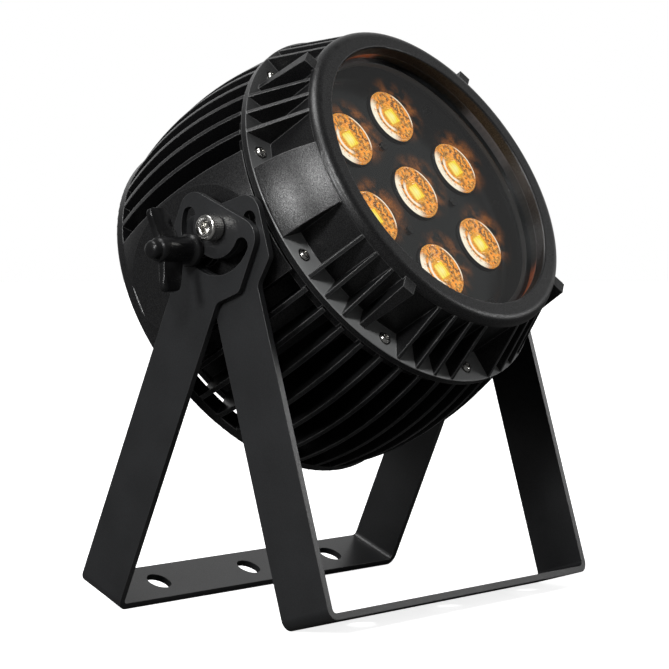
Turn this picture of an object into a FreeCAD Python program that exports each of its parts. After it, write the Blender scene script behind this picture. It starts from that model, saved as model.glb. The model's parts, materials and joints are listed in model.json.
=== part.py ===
import FreeCAD, Part
import os
from math import cos, radians, sin

import Sketcher

# A seven-lens par can light on a pair of U-shaped yokes that open into a floor stand.
# Row frame: X runs along the tilt axis, -Y is the side the light shines to, +Z is up,
# and the origin is on the floor at the middle of the object's box. Millimetres and degrees.
# Head frame: origin on the tilt axis, z forward along the beam, x along the tilt axis, y up.
# Yoke frame: origin on the tilt axis, x along the tilt axis, z up along the arms.

DRIVING_SIZES = {
    # Gaps: how far a cut runs past the face it opens, and round a thread
    "overrun": 1.0,
    "thread_gap": 0.05,
    # Stand and tilt
    "pivot_height": 198.4,
    "pivot_setback": 15.66,
    "head_tilt": 29.0,
    "outer_lean": 24.0,
    "inner_lean": 16.1,
    # Yokes
    "plate_thickness": 3.5,
    "shoulder_round": 5.0,
    "outer_half_width": 115.9,
    "inner_half_width": 112.1,
    "arm_width": 31.0,
    "bend_radius": 6.0,
    "paddle_half_width": 27.0,
    "paddle_top": 11.5,
    "paddle_foot": 23.0,
    "paddle_corner": 10.0,
    "paddle_overlap": 4.0,
    "shoulder_drop": 34.0,
    "pivot_hole_radius": 4.08,
    "slot_radius": 19.5,
    "slot_half_width": 4.3,
    "slot_half_angle": 86.0,
    "strap_hole_radius": 7.0,
    "strap_hole_pitch": 72.0,
    # Rear housing
    "core_radius": 85.0,
    "core_bore": 79.0,
    "rim_bore": 75.0,
    "rim_depth": 12.0,
    "core_back": -78.0,
    "web_back": 7.0,
    "web_front": 19.5,
    "fin_front": 19.5,
    "fin_back": -76.0,
    "fin_front_radius": 102.8,
    "fin_back_radius": 104.4,
    "fin_bulge_radius": 190.0,
    "fin_bulge_limit": 116.0,
    "fin_thickness": 2.6,
    "fin_pitch": 7.5,
    "first_gap": 22.5,
    "ring_back": -82.0,
    "ring_bore": 94.0,
    "ring_edge_round": 1.6,
    "seat_radius": 99.0,
    "seat_back": 14.5,
    "seat_front": 21.4,
    "seat_bore": 83.0,
    "groove_inner": 88.5,
    "groove_outer": 91.5,
    "groove_floor": 19.8,
    "pad_face": 104.0,
    "boss_face": 107.8,
    "boss_root": 100.0,
    "boss_radius": 13.0,
    "stud_boss_radius": 8.0,
    "stud_angle": 185.0,
    "thread_depth": 21.0,
    "thread_hole_radius": 4.05,
    "cover_thread_depth": 11.0,
    # Front housing
    "flange_radius": 104.0,
    "flange_back": 21.6,
    "flange_front": 25.4,
    "wall_radius": 88.0,
    "cavity_radius": 82.8,
    "bezel_back": 55.4,
    "bezel_front": 61.6,
    "bezel_radius": 89.2,
    "bezel_round": 5.0,
    "window_radius": 77.2,
    "window_round": 1.0,
    "lip_back": 55.3,
    "rib_thickness": 2.0,
    "rib_root_radius": 86.5,
    "rib_foot": 24.9,
    "rib_top": 56.4,
    "rib_trim": 2.0,
    "rib_foot_radius": 103.7,
    "rib_top_radius": 89.4,
    "lug_angle": 45.0,
    "lug_radius": 96.0,
    "lug_foot_radius": 99.5,
    "lug_half_width": 3.6,
    "lug_foot_half_width": 1.7,
    "lug_front": 58.6,
    "panel_angle": 22.0,
    "panel_foot": 26.4,
    "panel_top": 56.6,
    "panel_bulge_radius": 62.0,
    # Fasteners of the flange
    "flange_screw_circle": 95.7,
    "flange_screw_radius": 1.95,
    "flange_hole_radius": 2.1,
    "flange_screw_head": 2.9,
    "flange_screw_head_height": 2.3,
    "flange_socket_radius": 1.2,
    "flange_socket_depth": 1.2,
    "flange_recess_radius": 3.6,
    "flange_recess_depth": 0.5,
    # Glass and what holds it
    "glass_radius": 78.8,
    "glass_front": 54.5,
    "glass_thickness": 4.0,
    "retainer_back": 46.6,
    "retainer_front": 49.6,
    "retainer_bore": 75.2,
    "retainer_radius": 82.6,
    "retainer_screw_circle": 80.5,
    "retainer_screw_radius": 1.4,
    "retainer_hole_radius": 1.5,
    "retainer_thread_depth": 4.0,
    "retainer_screw_bite": 3.6,
    "retainer_screw_head": 2.2,
    "retainer_screw_head_height": 1.8,
    "retainer_socket_radius": 0.9,
    "retainer_socket_depth": 1.0,
    # Optics
    "lens_circle": 48.0,
    "lens_turn": 20.2,
    "lens_radius": 15.4,
    "lens_front": 42.6,
    "lens_back": 25.6,
    "lens_shoulder": 40.6,
    "lens_back_radius": 6.5,
    "lens_bulge_radius": 60.0,
    "lens_well_radius": 3.9,
    "lens_well_top": 33.6,
    "holder_throat_radius": 7.3,
    "holder_foot_radius": 10.0,
    "holder_radius": 16.1,
    "holder_collar": 37.6,
    "holder_seat_radius": 15.65,
    "holder_seat": 40.0,
    "holder_back": 25.8,
    "holder_front": 41.8,
    "cover_plate_radius": 81.8,
    "cover_plate_back": 38.6,
    "cover_plate_front": 40.4,
    "cover_plate_hole": 16.4,
    "inner_post_circle": 30.0,
    "outer_post_circle": 71.0,
    "post_radius": 2.8,
    "post_gap": 0.3,
    "post_thread_radius": 1.25,
    "post_thread_depth": 8.0,
    "plate_hole_radius": 1.3,
    "plate_screw_radius": 1.2,
    "plate_screw_bite": 6.0,
    "plate_screw_head": 2.3,
    "plate_screw_head_height": 1.4,
    "chip_half_width": 3.5,
    "chip_thickness": 0.9,
    "dome_radius": 2.6,
    "dome_height": 1.9,
    "board_radius": 73.0,
    "board_front": 21.4,
    "heat_pad_front": 19.8,
    "grommet_radius": 2.6,
    "grommet_edge": 0.6,
    "grommet_bore": 2.02,
    "lead_radius": 2.0,
    "lead_level": 1.0,
    "lead_thickness": 3.0,
    "plug_half_width": 5.0,
    "plug_height": 5.0,
    "plug_inner": 59.0,
    "plug_outer": 67.0,
    # Electronics
    "supply_half_width": 42.0,
    "supply_bottom": -58.0,
    "supply_top": -8.0,
    "supply_depth": 34.0,
    "supply_screw_inset": 4.0,
    "supply_screw_radius": 1.6,
    "supply_screw_bite": 6.0,
    "supply_screw_head": 3.0,
    "supply_screw_head_height": 2.0,
    "board_hole_radius": 1.7,
    "board_screw_inset": 4.0,
    "driver_half_width": 46.0,
    "driver_bottom": 2.0,
    "driver_top": 54.0,
    "driver_post_radius": 3.0,
    "driver_post_bore": 1.55,
    "driver_post_bore_depth": 6.0,
    "driver_screw_radius": 1.5,
    "driver_screw_bite": 5.0,
    "driver_screw_head": 2.8,
    "driver_screw_head_height": 1.8,
    "coil_pitch": 20.0,
    "coil_level": 20.0,
    "coil_radius": 7.0,
    "coil_height": 11.0,
    "capacitor_pitch": 15.0,
    "capacitor_level": 40.0,
    "capacitor_radius": 5.0,
    "capacitor_height": 16.0,
    "driver_board_back": -6.6,
    "driver_board_front": -5.0,
    "control_board_back": -66.0,
    "control_board_front": -64.4,
    "control_half_width": 37.0,
    "control_bottom": 3.0,
    "control_top": 56.0,
    "control_post_side": 34.0,
    "control_post_low": 6.0,
    "control_post_high": 22.0,
    "control_post_radius": 2.4,
    # Rear cover and what is on it
    "cover_radius": 86.0,
    "cover_front": -78.0,
    "cover_back": -82.0,
    "cover_chamfer": 1.0,
    "cover_groove_outer": 79.5,
    "cover_groove_inner": 76.5,
    "cover_groove_depth": 1.4,
    "cover_seal_side_gap": 0.2,
    "cover_screw_circle": 82.4,
    "cover_screw_radius": 1.7,
    "cover_hole_radius": 1.9,
    "cover_screw_bite": 9.0,
    "cover_screw_head": 3.0,
    "cover_screw_head_height": 2.2,
    "cover_socket_radius": 1.2,
    "cover_socket_depth": 1.2,
    "window_half_width": 29.0,
    "window_height": 24.0,
    "window_level": 40.0,
    "window_ledge": 2.0,
    "window_thickness": 1.5,
    "window_gap": 0.1,
    "display_margin": 3.0,
    "display_gap": 0.4,
    "key_pitch": 17.0,
    "key_level": 11.0,
    "key_radius": 4.5,
    "key_proud": 2.4,
    "key_gap": 0.1,
    "key_flange_radius": 5.9,
    "key_flange_back": 0.2,
    "key_flange_front": 1.8,
    "key_seal_radius": 6.4,
    "key_seal_recess": 6.5,
    "key_seal_thickness": 1.2,
    "switch_half_width": 3.0,
    "switch_height": 4.0,
    "switch_stem_radius": 1.7,
    "switch_stem_end": 2.8,
    "socket_side": 22.0,
    "socket_level": -38.0,
    "data_side": 52.0,
    "data_level": -20.0,
    "socket_radius": 11.0,
    "socket_gap": 0.05,
    "socket_hole_gap": 0.1,
    "socket_out": 14.0,
    "socket_in": 8.0,
    "socket_bore": 8.5,
    "socket_collar_radius": 14.0,
    "socket_collar_height": 3.2,
    "socket_seal_radius": 13.6,
    "socket_seal_thickness": 0.8,
    "socket_nut_radius": 13.8,
    "socket_nut_height": 3.0,
    "socket_cap_radius": 13.2,
    "socket_cap_end": 16.5,
    "insert_radius": 8.4,
    "insert_out": 8.0,
    "insert_in": 6.0,
    "pin_circle": 4.0,
    "pin_radius": 1.2,
    "pin_depth": 10.0,
    "vent_level": -63.0,
    "vent_radius": 6.0,
    "vent_hole_gap": 0.05,
    "vent_head_radius": 8.5,
    "vent_head_height": 4.0,
    "vent_bore": 2.0,
    "vent_in": 6.0,
    "eye_level": 66.0,
    "eye_ring_radius": 9.0,
    "eye_rod_radius": 3.0,
    "eye_shank_radius": 4.0,
    "eye_hole_radius": 4.05,
    "eye_in": 9.0,
    "eye_collar_radius": 7.0,
    "eye_collar_height": 2.5,
    "eye_ring_sink": 0.5,
    "eye_nut_radius": 7.2,
    "eye_nut_height": 5.0,
    "eye_nut_bore": 4.02,
    # Pivot and wing knobs
    "pivot_screw_radius": 4.0,
    "pivot_head_radius": 6.6,
    "pivot_head_height": 8.0,
    "pivot_head_gap": 0.2,
    "pivot_socket_radius": 3.3,
    "pivot_socket_depth": 4.2,
    "thread_end_gap": 1.0,
    "washer_thickness": 0.6,
    "washer_gap": 0.2,
    "stud_short": 6.0,
    "knob_gap": 0.3,
    "knob_length": 30.0,
    "knob_radius": 6.4,
    "knob_foot_radius": 8.6,
    "knob_foot_height": 3.4,
    "knob_bore": 4.06,
    "knob_insert_radius": 5.4,
    "knob_insert_length": 18.0,
    "knob_end_wall": 5.0,
    "knob_turn": 13.0,
    "wing_start": 9.6,
    "wing_inner_shoulder": 13.5,
    "wing_inner_tip": 15.5,
    "wing_outer_tip": 25.0,
    "wing_outer_shoulder": 26.5,
    "wing_end": 23.0,
    "wing_corner": 2.0,
    "wing_reach": 21.5,
    "wing_half_thickness": 2.3,
}


class Size:
    """A size that carries both its value and the spreadsheet formula that gives it."""

    def __init__(self, formula, value):
        self.formula = formula
        self.value = value

    @staticmethod
    def of(number):
        return number if isinstance(number, Size) else Size(repr(float(number)), float(number))

    def _join(self, sign, other, value):
        return Size(f"({self.formula} {sign} {other.formula})", value)

    def __add__(self, other):
        other = Size.of(other)
        return self._join("+", other, self.value + other.value)

    def __sub__(self, other):
        other = Size.of(other)
        return self._join("-", other, self.value - other.value)

    def __mul__(self, other):
        other = Size.of(other)
        return self._join("*", other, self.value * other.value)

    def __truediv__(self, other):
        other = Size.of(other)
        return self._join("/", other, self.value / other.value)

    def __rsub__(self, other):
        return Size.of(other) - self

    def __neg__(self):
        return Size(f"(0 - {self.formula})", -self.value)

    __radd__ = __add__
    __rmul__ = __mul__


def cosine(angle):
    angle = Size.of(angle)
    return Size(f"cos({angle.formula})", cos(radians(angle.value)))


def sine(angle):
    angle = Size.of(angle)
    return Size(f"sin({angle.formula})", sin(radians(angle.value)))


def tangent(angle):
    return sine(angle) / cosine(angle)


class Sizes:
    """The spreadsheet of driving sizes; each one is read as an attribute."""

    def __init__(self, document):
        self.sheet = document.addObject("Spreadsheet::Sheet", "Sizes")
        for row, (alias, value) in enumerate(DRIVING_SIZES.items(), start=1):
            self.sheet.set(f"A{row}", alias)
            self.sheet.set(f"B{row}", str(value))
            self.sheet.setAlias(f"B{row}", alias)

    def __getattr__(self, alias):
        return Size(f"Sizes.{alias}", DRIVING_SIZES[alias])


doc = FreeCAD.newDocument("par_can_light")
size = Sizes(doc)
doc.recompute()

Vector = FreeCAD.Vector
Rotation = FreeCAD.Rotation
X_AXIS = Vector(1, 0, 0)
Z_AXIS = Vector(0, 0, 1)

pivot = Vector(0, -size.pivot_setback.value, size.pivot_height.value)
HEAD_PLACE = FreeCAD.Placement(pivot, Rotation(X_AXIS, 90 - size.head_tilt.value))
OUTER_PLACE = FreeCAD.Placement(pivot, Rotation(X_AXIS, size.outer_lean.value))
INNER_PLACE = FreeCAD.Placement(pivot, Rotation(X_AXIS, -size.inner_lean.value))

sub_parts = []


# ---------------------------------------------------------------- drawing helpers


def new_body(name, place):
    body = doc.addObject("PartDesign::Body", name)
    body.Label = name
    body.AllowCompound = True
    body.Placement = place
    sub_parts.append(body)
    return body


def origin_item(body, role):
    return next(item for item in body.Origin.OriginFeatures if item.Role == role)


def new_sketch(body, plane, level, turn, turn_axis):
    sketch = body.newObject("Sketcher::SketchObject", "Sketch")
    sketch.AttachmentSupport = (origin_item(body, plane), [""])
    sketch.MapMode = "FlatFace"
    level = Size.of(level)
    sketch.AttachmentOffset = FreeCAD.Placement(Vector(0, 0, level.value), Rotation(turn_axis, turn))
    sketch.setExpression("AttachmentOffset.Base.z", level.formula)
    return sketch


def pin_point(sketch, geometry, end, point):
    """Ties one end of a sketch line or arc to a place given by two sizes."""
    for kind, coordinate in zip(("DistanceX", "DistanceY"), point):
        coordinate = Size.of(coordinate)
        rule = Sketcher.Constraint(kind, -1, 1, geometry, end, coordinate.value)
        index = sketch.addConstraint(rule)
        sketch.setExpression(f"Constraints[{index}]", coordinate.formula)


def arc_between(start, end, radius):
    """The short arc from start to end; a positive radius bulges to the right of the way."""
    middle = (start + end) / 2
    half = end.sub(start).Length / 2
    side = Vector(end.y - start.y, start.x - end.x, 0).normalize()
    reach = (radius**2 - half**2) ** 0.5
    if radius > 0:
        return Part.Arc(start, middle + side * (radius - reach), end)
    return Part.Arc(end, middle + side * (radius + reach), start)


def outline(body, plane, points, level=0, turn=0, turn_axis=Z_AXIS):
    """A closed sketch. A third entry in a point is the radius of the arc that follows it."""
    sketch = new_sketch(body, plane, level, turn, turn_axis)
    add_outline(sketch, points)
    return sketch


def add_outline(sketch, points):
    first = sketch.GeometryCount
    places = [Vector(Size.of(p[0]).value, Size.of(p[1]).value, 0) for p in points]
    count = len(points)
    start_ends = []
    for index, point in enumerate(points):
        start = places[index]
        end = places[(index + 1) % count]
        if len(point) == 2:
            sketch.addGeometry(Part.LineSegment(start, end))
            start_ends.append((1, 2))
            continue
        radius = Size.of(point[2])
        number = sketch.addGeometry(arc_between(start, end, radius.value))
        start_ends.append((1, 2) if radius.value > 0 else (2, 1))
        positive = radius if radius.value > 0 else -radius
        rule = sketch.addConstraint(Sketcher.Constraint("Radius", number, positive.value))
        sketch.setExpression(f"Constraints[{rule}]", positive.formula)
    for index in range(count):
        after = (index + 1) % count
        link = Sketcher.Constraint(
            "Coincident", first + index, start_ends[index][1], first + after, start_ends[after][0]
        )
        sketch.addConstraint(link)
    for index, point in enumerate(points):
        pin_point(sketch, first + index, start_ends[index][0], point)


def circles(body, plane, centres, radius, level=0, turn=0, turn_axis=Z_AXIS):
    """A sketch of equal circles at the given centres."""
    sketch = new_sketch(body, plane, level, turn, turn_axis)
    radius = Size.of(radius)
    for centre in centres:
        across, along = (Size.of(value) for value in centre)
        middle = Vector(across.value, along.value, 0)
        number = sketch.addGeometry(Part.Circle(middle, Z_AXIS, radius.value))
        pin_point(sketch, number, 3, centre)
        index = sketch.addConstraint(Sketcher.Constraint("Radius", number, radius.value))
        sketch.setExpression(f"Constraints[{index}]", radius.formula)
    return sketch


def rectangle(left, right, bottom, top):
    return [(left, bottom), (right, bottom), (right, top), (left, top)]


def on_circle(radius, angles):
    """Places at the given angles on a circle about the origin."""
    return [(radius * cosine(angle), radius * sine(angle)) for angle in angles]


def evenly(count, first=0.0):
    return [first + 360.0 / count * step for step in range(count)]


def add_feature(body, kind, sketch):
    feature = body.newObject(f"PartDesign::{kind}", kind)
    feature.Profile = sketch
    sketch.Visibility = False
    return feature


def pad(body, sketch, length, reverse=False, midplane=False):
    feature = add_feature(body, "Pad", sketch)
    feature.SideType = "Symmetric" if midplane else "One side"
    feature.Reversed = reverse
    feature.setExpression("Length", Size.of(length).formula)
    return feature


def pocket(body, sketch, length, reverse=False, midplane=False):
    """Cuts a sketch against its normal, and makes sure that it took something away."""
    doc.recompute()
    before = body.Shape.Volume
    feature = add_feature(body, "Pocket", sketch)
    feature.SideType = "Symmetric" if midplane else "One side"
    feature.Reversed = reverse
    feature.setExpression("Length", Size.of(length).formula)
    doc.recompute()
    if body.Shape.Volume > before - 1e-3:
        raise ValueError(f"a pocket of {body.Label} cut nothing")
    return feature


def revolve(body, sketch, angle=360):
    feature = add_feature(body, "Revolution", sketch)
    feature.ReferenceAxis = (origin_item(body, "Z_Axis"), [""])
    feature.Midplane = True
    feature.setExpression("Angle", Size.of(angle).formula)
    return feature


def mirror(body, feature, plane):
    copy = body.newObject("PartDesign::Mirrored", "Mirrored")
    copy.Originals = feature if isinstance(feature, list) else [feature]
    copy.MirrorPlane = (origin_item(body, plane), [""])
    body.Tip = copy
    return copy


def fan_and_mirror(body, feature, count, angle, planes):
    """Repeats a feature about z over an angle, then mirrors the fan in the given planes."""
    fan = doc.addObject("PartDesign::PolarPattern", "Fan")
    body.addObject(fan)
    fan.Axis = (origin_item(body, "Z_Axis"), [""])
    fan.Occurrences = count
    fan.Angle = angle
    steps = [fan]
    for plane in planes:
        copy = doc.addObject("PartDesign::Mirrored", "FanMirror")
        body.addObject(copy)
        copy.MirrorPlane = (origin_item(body, plane), [""])
        steps.append(copy)
    group = body.newObject("PartDesign::MultiTransform", "Group")
    group.Originals = [feature]
    group.Transformations = steps
    body.Tip = group
    return group


def round_edges(body, radius, chosen):
    """Rounds the edges of the body that the test picks."""
    doc.recompute()
    tip = body.Tip
    names = [f"Edge{i}" for i, edge in enumerate(tip.Shape.Edges, start=1) if chosen(edge)]
    feature = body.newObject("PartDesign::Fillet", "Fillet")
    feature.Base = (tip, names)
    feature.setExpression("Radius", Size.of(radius).formula)
    body.Tip = feature
    return feature


def turned(name, profile, place):
    """A body of revolution about its z axis, from a profile of (radius, level) points."""
    body = new_body(name, place)
    revolve(body, outline(body, "XZ_Plane", profile))
    return body


def discs(name, centres, radius, bottom, top, place):
    """A group of equal round posts standing along z."""
    body = new_body(name, place)
    add_discs(body, centres, radius, bottom, top)
    return body


def add_discs(body, centres, radius, bottom, top):
    return pad(body, circles(body, "XY_Plane", centres, radius, bottom), top - Size.of(bottom))


def drill(body, centres, radius, bottom, top):
    """Cuts round holes along z from top down to bottom."""
    sketch = circles(body, "XY_Plane", centres, radius, top)
    return pocket(body, sketch, Size.of(top) - bottom)


def block(name, left, right, bottom, top, back, front, place):
    body = new_body(name, place)
    add_block(body, left, right, bottom, top, back, front)
    return body


def add_block(body, left, right, bottom, top, back, front):
    sketch = outline(body, "XY_Plane", rectangle(left, right, bottom, top), back)
    return pad(body, sketch, front - Size.of(back))


def cut_block(body, left, right, bottom, top, back, front):
    sketch = outline(body, "XY_Plane", rectangle(left, right, bottom, top), front)
    return pocket(body, sketch, Size.of(front) - back)


# ---------------------------------------------------------------- yokes


def make_yoke(name, half_width, strap_drop, place):
    """A flat bar bent into a U, with a wider paddle at each end for the pivot and the slot."""
    body = new_body(name, place)
    inner = half_width - size.plate_thickness
    bend = size.bend_radius
    inner_bend = bend - size.plate_thickness
    bottom = -strap_drop
    floor = bottom + size.plate_thickness
    arm_top = -size.paddle_foot
    section = [
        (-half_width, arm_top),
        (-half_width, bottom + bend, bend),
        (-half_width + bend, bottom),
        (half_width - bend, bottom, bend),
        (half_width, bottom + bend),
        (half_width, arm_top),
        (inner, arm_top),
        (inner, floor + inner_bend, -inner_bend),
        (inner - inner_bend, floor),
        (-inner + inner_bend, floor, -inner_bend),
        (-inner, floor + inner_bend),
        (-inner, arm_top),
    ]
    pad(body, outline(body, "XZ_Plane", section), size.arm_width, midplane=True)
    paddle_sketch = outline(body, "YZ_Plane", paddle_outline(), inner)
    paddle = pad(body, paddle_sketch, size.plate_thickness)
    doc.recompute()
    mirror(body, paddle, "YZ_Plane")

    through = (half_width + size.overrun) * 2
    pocket(body, circles(body, "YZ_Plane", [(0, 0)], size.pivot_hole_radius), through, midplane=True)
    pocket(body, outline(body, "YZ_Plane", slot_outline()), through, midplane=True)
    slot_ends = on_circle(size.slot_radius, slot_angles())
    pocket(body, circles(body, "YZ_Plane", slot_ends, size.slot_half_width), through, midplane=True)
    strap_holes = [(size.strap_hole_pitch * step, 0) for step in (-1, 0, 1)]
    drill(body, strap_holes, size.strap_hole_radius, bottom, floor)
    round_edges(body, size.shoulder_round, is_shoulder)
    return body


def paddle_outline():
    reach = size.paddle_half_width
    corner = size.paddle_corner
    arm = size.arm_width / 2
    overlap = -size.shoulder_drop - size.paddle_overlap
    return [
        (reach - corner, size.paddle_top),
        (-reach + corner, size.paddle_top, corner),
        (-reach, size.paddle_top - corner),
        (-reach, -size.paddle_foot),
        (-arm, -size.shoulder_drop),
        (-arm, overlap),
        (arm, overlap),
        (arm, -size.shoulder_drop),
        (reach, -size.paddle_foot),
        (reach, size.paddle_top - corner, corner),
    ]


def slot_angles():
    return -90 - size.slot_half_angle, -90 + size.slot_half_angle


def slot_outline():
    """The arc slot about the pivot, on the lower half of the paddle, without its round ends."""
    first, last = slot_angles()
    inner = size.slot_radius - size.slot_half_width
    outer = size.slot_radius + size.slot_half_width
    inner_first, inner_middle, inner_last = on_circle(inner, (first, -90, last))
    outer_first, outer_middle, outer_last = on_circle(outer, (first, -90, last))
    return [
        (*inner_first, inner),
        (*inner_middle, inner),
        inner_last,
        (*outer_last, -outer),
        (*outer_middle, -outer),
        outer_first,
    ]


def is_shoulder(edge):
    """Tests for the short edges where a paddle narrows to its arm."""
    box = edge.BoundBox
    if box.YLength > 1e-3 or box.ZLength > 1e-3:
        return False
    corners = (
        (size.paddle_half_width.value, -size.paddle_foot.value),
        (size.arm_width.value / 2, -size.shoulder_drop.value),
    )
    return any(abs(abs(box.YMin) - y) < 1e-3 and abs(box.ZMin - z) < 1e-3 for y, z in corners)


# The inner yoke is cut to the length that puts both straps on the floor.
half_arm = size.arm_width / 2
outer_drop = (size.pivot_height - half_arm * sine(size.outer_lean)) / cosine(size.outer_lean)
inner_drop = (size.pivot_height - half_arm * sine(size.inner_lean)) / cosine(size.inner_lean)
make_yoke("outer_yoke", size.outer_half_width, outer_drop, OUTER_PLACE)
make_yoke("inner_yoke", size.inner_half_width, inner_drop, INNER_PLACE)


# ---------------------------------------------------------------- rear housing


def stud_centre():
    """Where the clamping stud stands in the head's y-z plane."""
    return size.slot_radius * sine(size.stud_angle), size.slot_radius * cosine(size.stud_angle)


def gap_outline(bottom, top):
    """The wedge between two neighbouring fins, from one radius out to another."""
    half_pitch = size.fin_pitch / 2
    half_fin = size.fin_thickness / 2 / cosine(half_pitch)
    low = bottom * tangent(half_pitch) - half_fin
    high = top * tangent(half_pitch) - half_fin
    return [(bottom, -low), (top, -high), (top, high), (bottom, low)]


def make_rear_housing():
    """The finned die casting: core, web behind the lamps, fins, rear ring and side pads."""
    round_ = size.ring_edge_round
    profile = [
        (0, size.web_back),
        (size.core_bore, size.web_back),
        (size.core_bore, size.core_back + size.rim_depth),
        (size.rim_bore, size.core_back + size.rim_depth),
        (size.rim_bore, size.core_back),
        (size.core_radius, size.core_back),
        (size.core_radius, size.fin_back),
        (size.ring_bore, size.fin_back),
        (size.ring_bore, size.ring_back),
        (size.fin_back_radius - round_, size.ring_back, round_),
        (size.fin_back_radius, size.ring_back + round_),
        (size.fin_back_radius, size.fin_back, size.fin_bulge_radius),
        (size.fin_front_radius, size.fin_front),
        (size.seat_radius, size.fin_front),
        (size.seat_radius, size.seat_front),
        (size.groove_outer, size.seat_front),
        (size.groove_outer, size.groove_floor),
        (size.groove_inner, size.groove_floor),
        (size.groove_inner, size.seat_front),
        (size.seat_bore, size.seat_front),
        (size.seat_bore, size.web_front),
        (0, size.web_front),
    ]
    body = turned("rear_housing", profile, HEAD_PLACE)
    far_out = size.fin_bulge_limit
    gap = outline(
        body, "XY_Plane", gap_outline(size.core_radius, far_out), size.seat_back, size.first_gap.value
    )
    gap_cut = pocket(body, gap, size.seat_back - size.fin_back)
    fan_angle = 180 - 2 * size.first_gap.value
    count = round(fan_angle / size.fin_pitch.value) + 1
    fan_and_mirror(body, gap_cut, count, fan_angle, ["XZ_Plane"])
    tip_gap = outline(
        body, "XY_Plane", gap_outline(size.seat_radius, far_out), size.fin_front, size.first_gap.value
    )
    tip_cut = pocket(body, tip_gap, size.fin_front - size.seat_back)
    fan_and_mirror(body, tip_cut, count, fan_angle, ["XZ_Plane"])

    for side in (-1, 1):
        near, far = sorted((size.pad_face * side, far_out * side), key=lambda limit: limit.value)
        cut_block(body, near, far, -far_out, far_out, size.fin_back, size.fin_front)
    bosses = []
    for centre, radius in (((0, 0), size.boss_radius), (stud_centre(), size.stud_boss_radius)):
        sketch = circles(body, "YZ_Plane", [centre], radius, size.boss_root)
        bosses.append(pad(body, sketch, size.boss_face - size.boss_root))
    doc.recompute()
    mirror(body, bosses, "YZ_Plane")
    thread_root = size.boss_face - size.thread_depth
    for side in (1, -1):
        holes = circles(
            body, "YZ_Plane", [(0, 0), stud_centre()], size.thread_hole_radius, thread_root * side
        )
        pocket(body, holes, size.thread_depth + size.overrun, reverse=side > 0)
    flange_thread = size.flange_screw_radius + size.thread_gap
    drill(body, flange_screw_places(), flange_thread, size.seat_back - size.overrun, size.seat_front)
    drill(body, [harness_place()], size.grommet_radius, size.web_back, size.web_front)
    supply_thread = size.supply_screw_radius + size.thread_gap
    drill(
        body, supply_corners(), supply_thread, size.web_back, size.web_back + size.supply_screw_bite
    )
    cover_thread = size.cover_screw_radius + size.thread_gap
    cover_thread_end = size.core_back + size.cover_thread_depth
    drill(body, cover_screw_places(), cover_thread, size.core_back, cover_thread_end)
    return body


def flange_screw_places():
    return on_circle(size.flange_screw_circle, evenly(10, 18))


def cover_screw_places():
    return on_circle(size.cover_screw_circle, evenly(8, 22.5))


def harness_place():
    return 0, size.core_bore - size.grommet_radius - size.grommet_edge


# ---------------------------------------------------------------- front housing


def make_front_housing():
    """The front casting: flange, drum wall with ribs, smooth side panels and the bezel."""
    round_ = size.bezel_round
    profile = [
        (size.cavity_radius, size.flange_back),
        (size.flange_radius, size.flange_back),
        (size.flange_radius, size.flange_front),
        (size.wall_radius, size.flange_front),
        (size.wall_radius, size.bezel_back),
        (size.bezel_radius, size.rib_top),
        (size.bezel_radius, size.bezel_front - round_, round_),
        (size.bezel_radius - round_, size.bezel_front),
        (size.window_radius + size.window_round, size.bezel_front, size.window_round),
        (size.window_radius, size.bezel_front - size.window_round),
        (size.window_radius, size.lip_back),
        (size.cavity_radius, size.lip_back),
    ]
    body = turned("front_housing", profile, HEAD_PLACE)
    root = size.rib_root_radius
    foot = size.rib_foot
    half_rib = size.rib_thickness / 2
    rib_shape = rectangle(root, size.rib_foot_radius, -half_rib, half_rib)
    for first_angle, count, pitch in rib_groups():
        sketch = outline(body, "XY_Plane", rib_shape, foot, first_angle)
        rib = pad(body, sketch, size.rib_top - foot)
        doc.recompute()
        fan_and_mirror(body, rib, count, pitch * (count - 1), ["YZ_Plane", "XZ_Plane"])
    taper = [
        (size.rib_foot_radius, size.flange_front),
        (size.rib_foot_radius + size.rib_trim, size.flange_front),
        (size.rib_foot_radius + size.rib_trim, size.bezel_front),
        (size.rib_top_radius, size.bezel_front),
        (size.rib_top_radius, size.rib_top),
    ]
    groove = add_feature(body, "Groove", outline(body, "XZ_Plane", taper))
    groove.ReferenceAxis = (origin_item(body, "Z_Axis"), [""])
    groove.Angle = 360
    doc.recompute()

    panel = [
        (root, foot),
        (size.rib_foot_radius, foot),
        (size.rib_foot_radius, size.panel_foot, size.panel_bulge_radius),
        (size.rib_top_radius, size.panel_top),
        (root, size.panel_top),
    ]
    side_panel = revolve(body, outline(body, "XZ_Plane", panel), size.panel_angle)
    doc.recompute()
    mirror(body, side_panel, "YZ_Plane")

    end_shape = lug_outline(size.lug_radius, size.lug_half_width)
    foot_shape = lug_outline(size.lug_foot_radius, size.lug_foot_half_width)
    lug_end = outline(body, "XY_Plane", end_shape, size.lug_front, size.lug_angle.value)
    lug_foot = outline(body, "XY_Plane", foot_shape, foot, size.lug_angle.value)
    loft = body.newObject("PartDesign::AdditiveLoft", "Lug")
    loft.Profile = lug_foot
    loft.Sections = [lug_end]
    doc.recompute()
    fan_and_mirror(body, loft, 4, 270, [])

    screws = flange_screw_places()
    drill(body, screws, size.flange_hole_radius, size.flange_back, size.flange_front)
    drill(
        body,
        screws,
        size.flange_recess_radius,
        size.flange_front - size.flange_recess_depth,
        size.flange_front,
    )
    drill(
        body,
        retainer_screw_places(),
        size.retainer_screw_radius + size.thread_gap,
        size.lip_back,
        size.lip_back + size.retainer_thread_depth,
    )
    return body


def rib_groups():
    """Rib groups of one quadrant: first angle, how many, and the pitch between them."""
    return ((24.0, 3, 7.1), (59.4, 4, 7.2))


def lug_outline(reach, half_width):
    return rectangle(size.rib_root_radius, reach, -half_width, half_width)


def retainer_screw_places():
    return on_circle(size.retainer_screw_circle, evenly(6))


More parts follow.
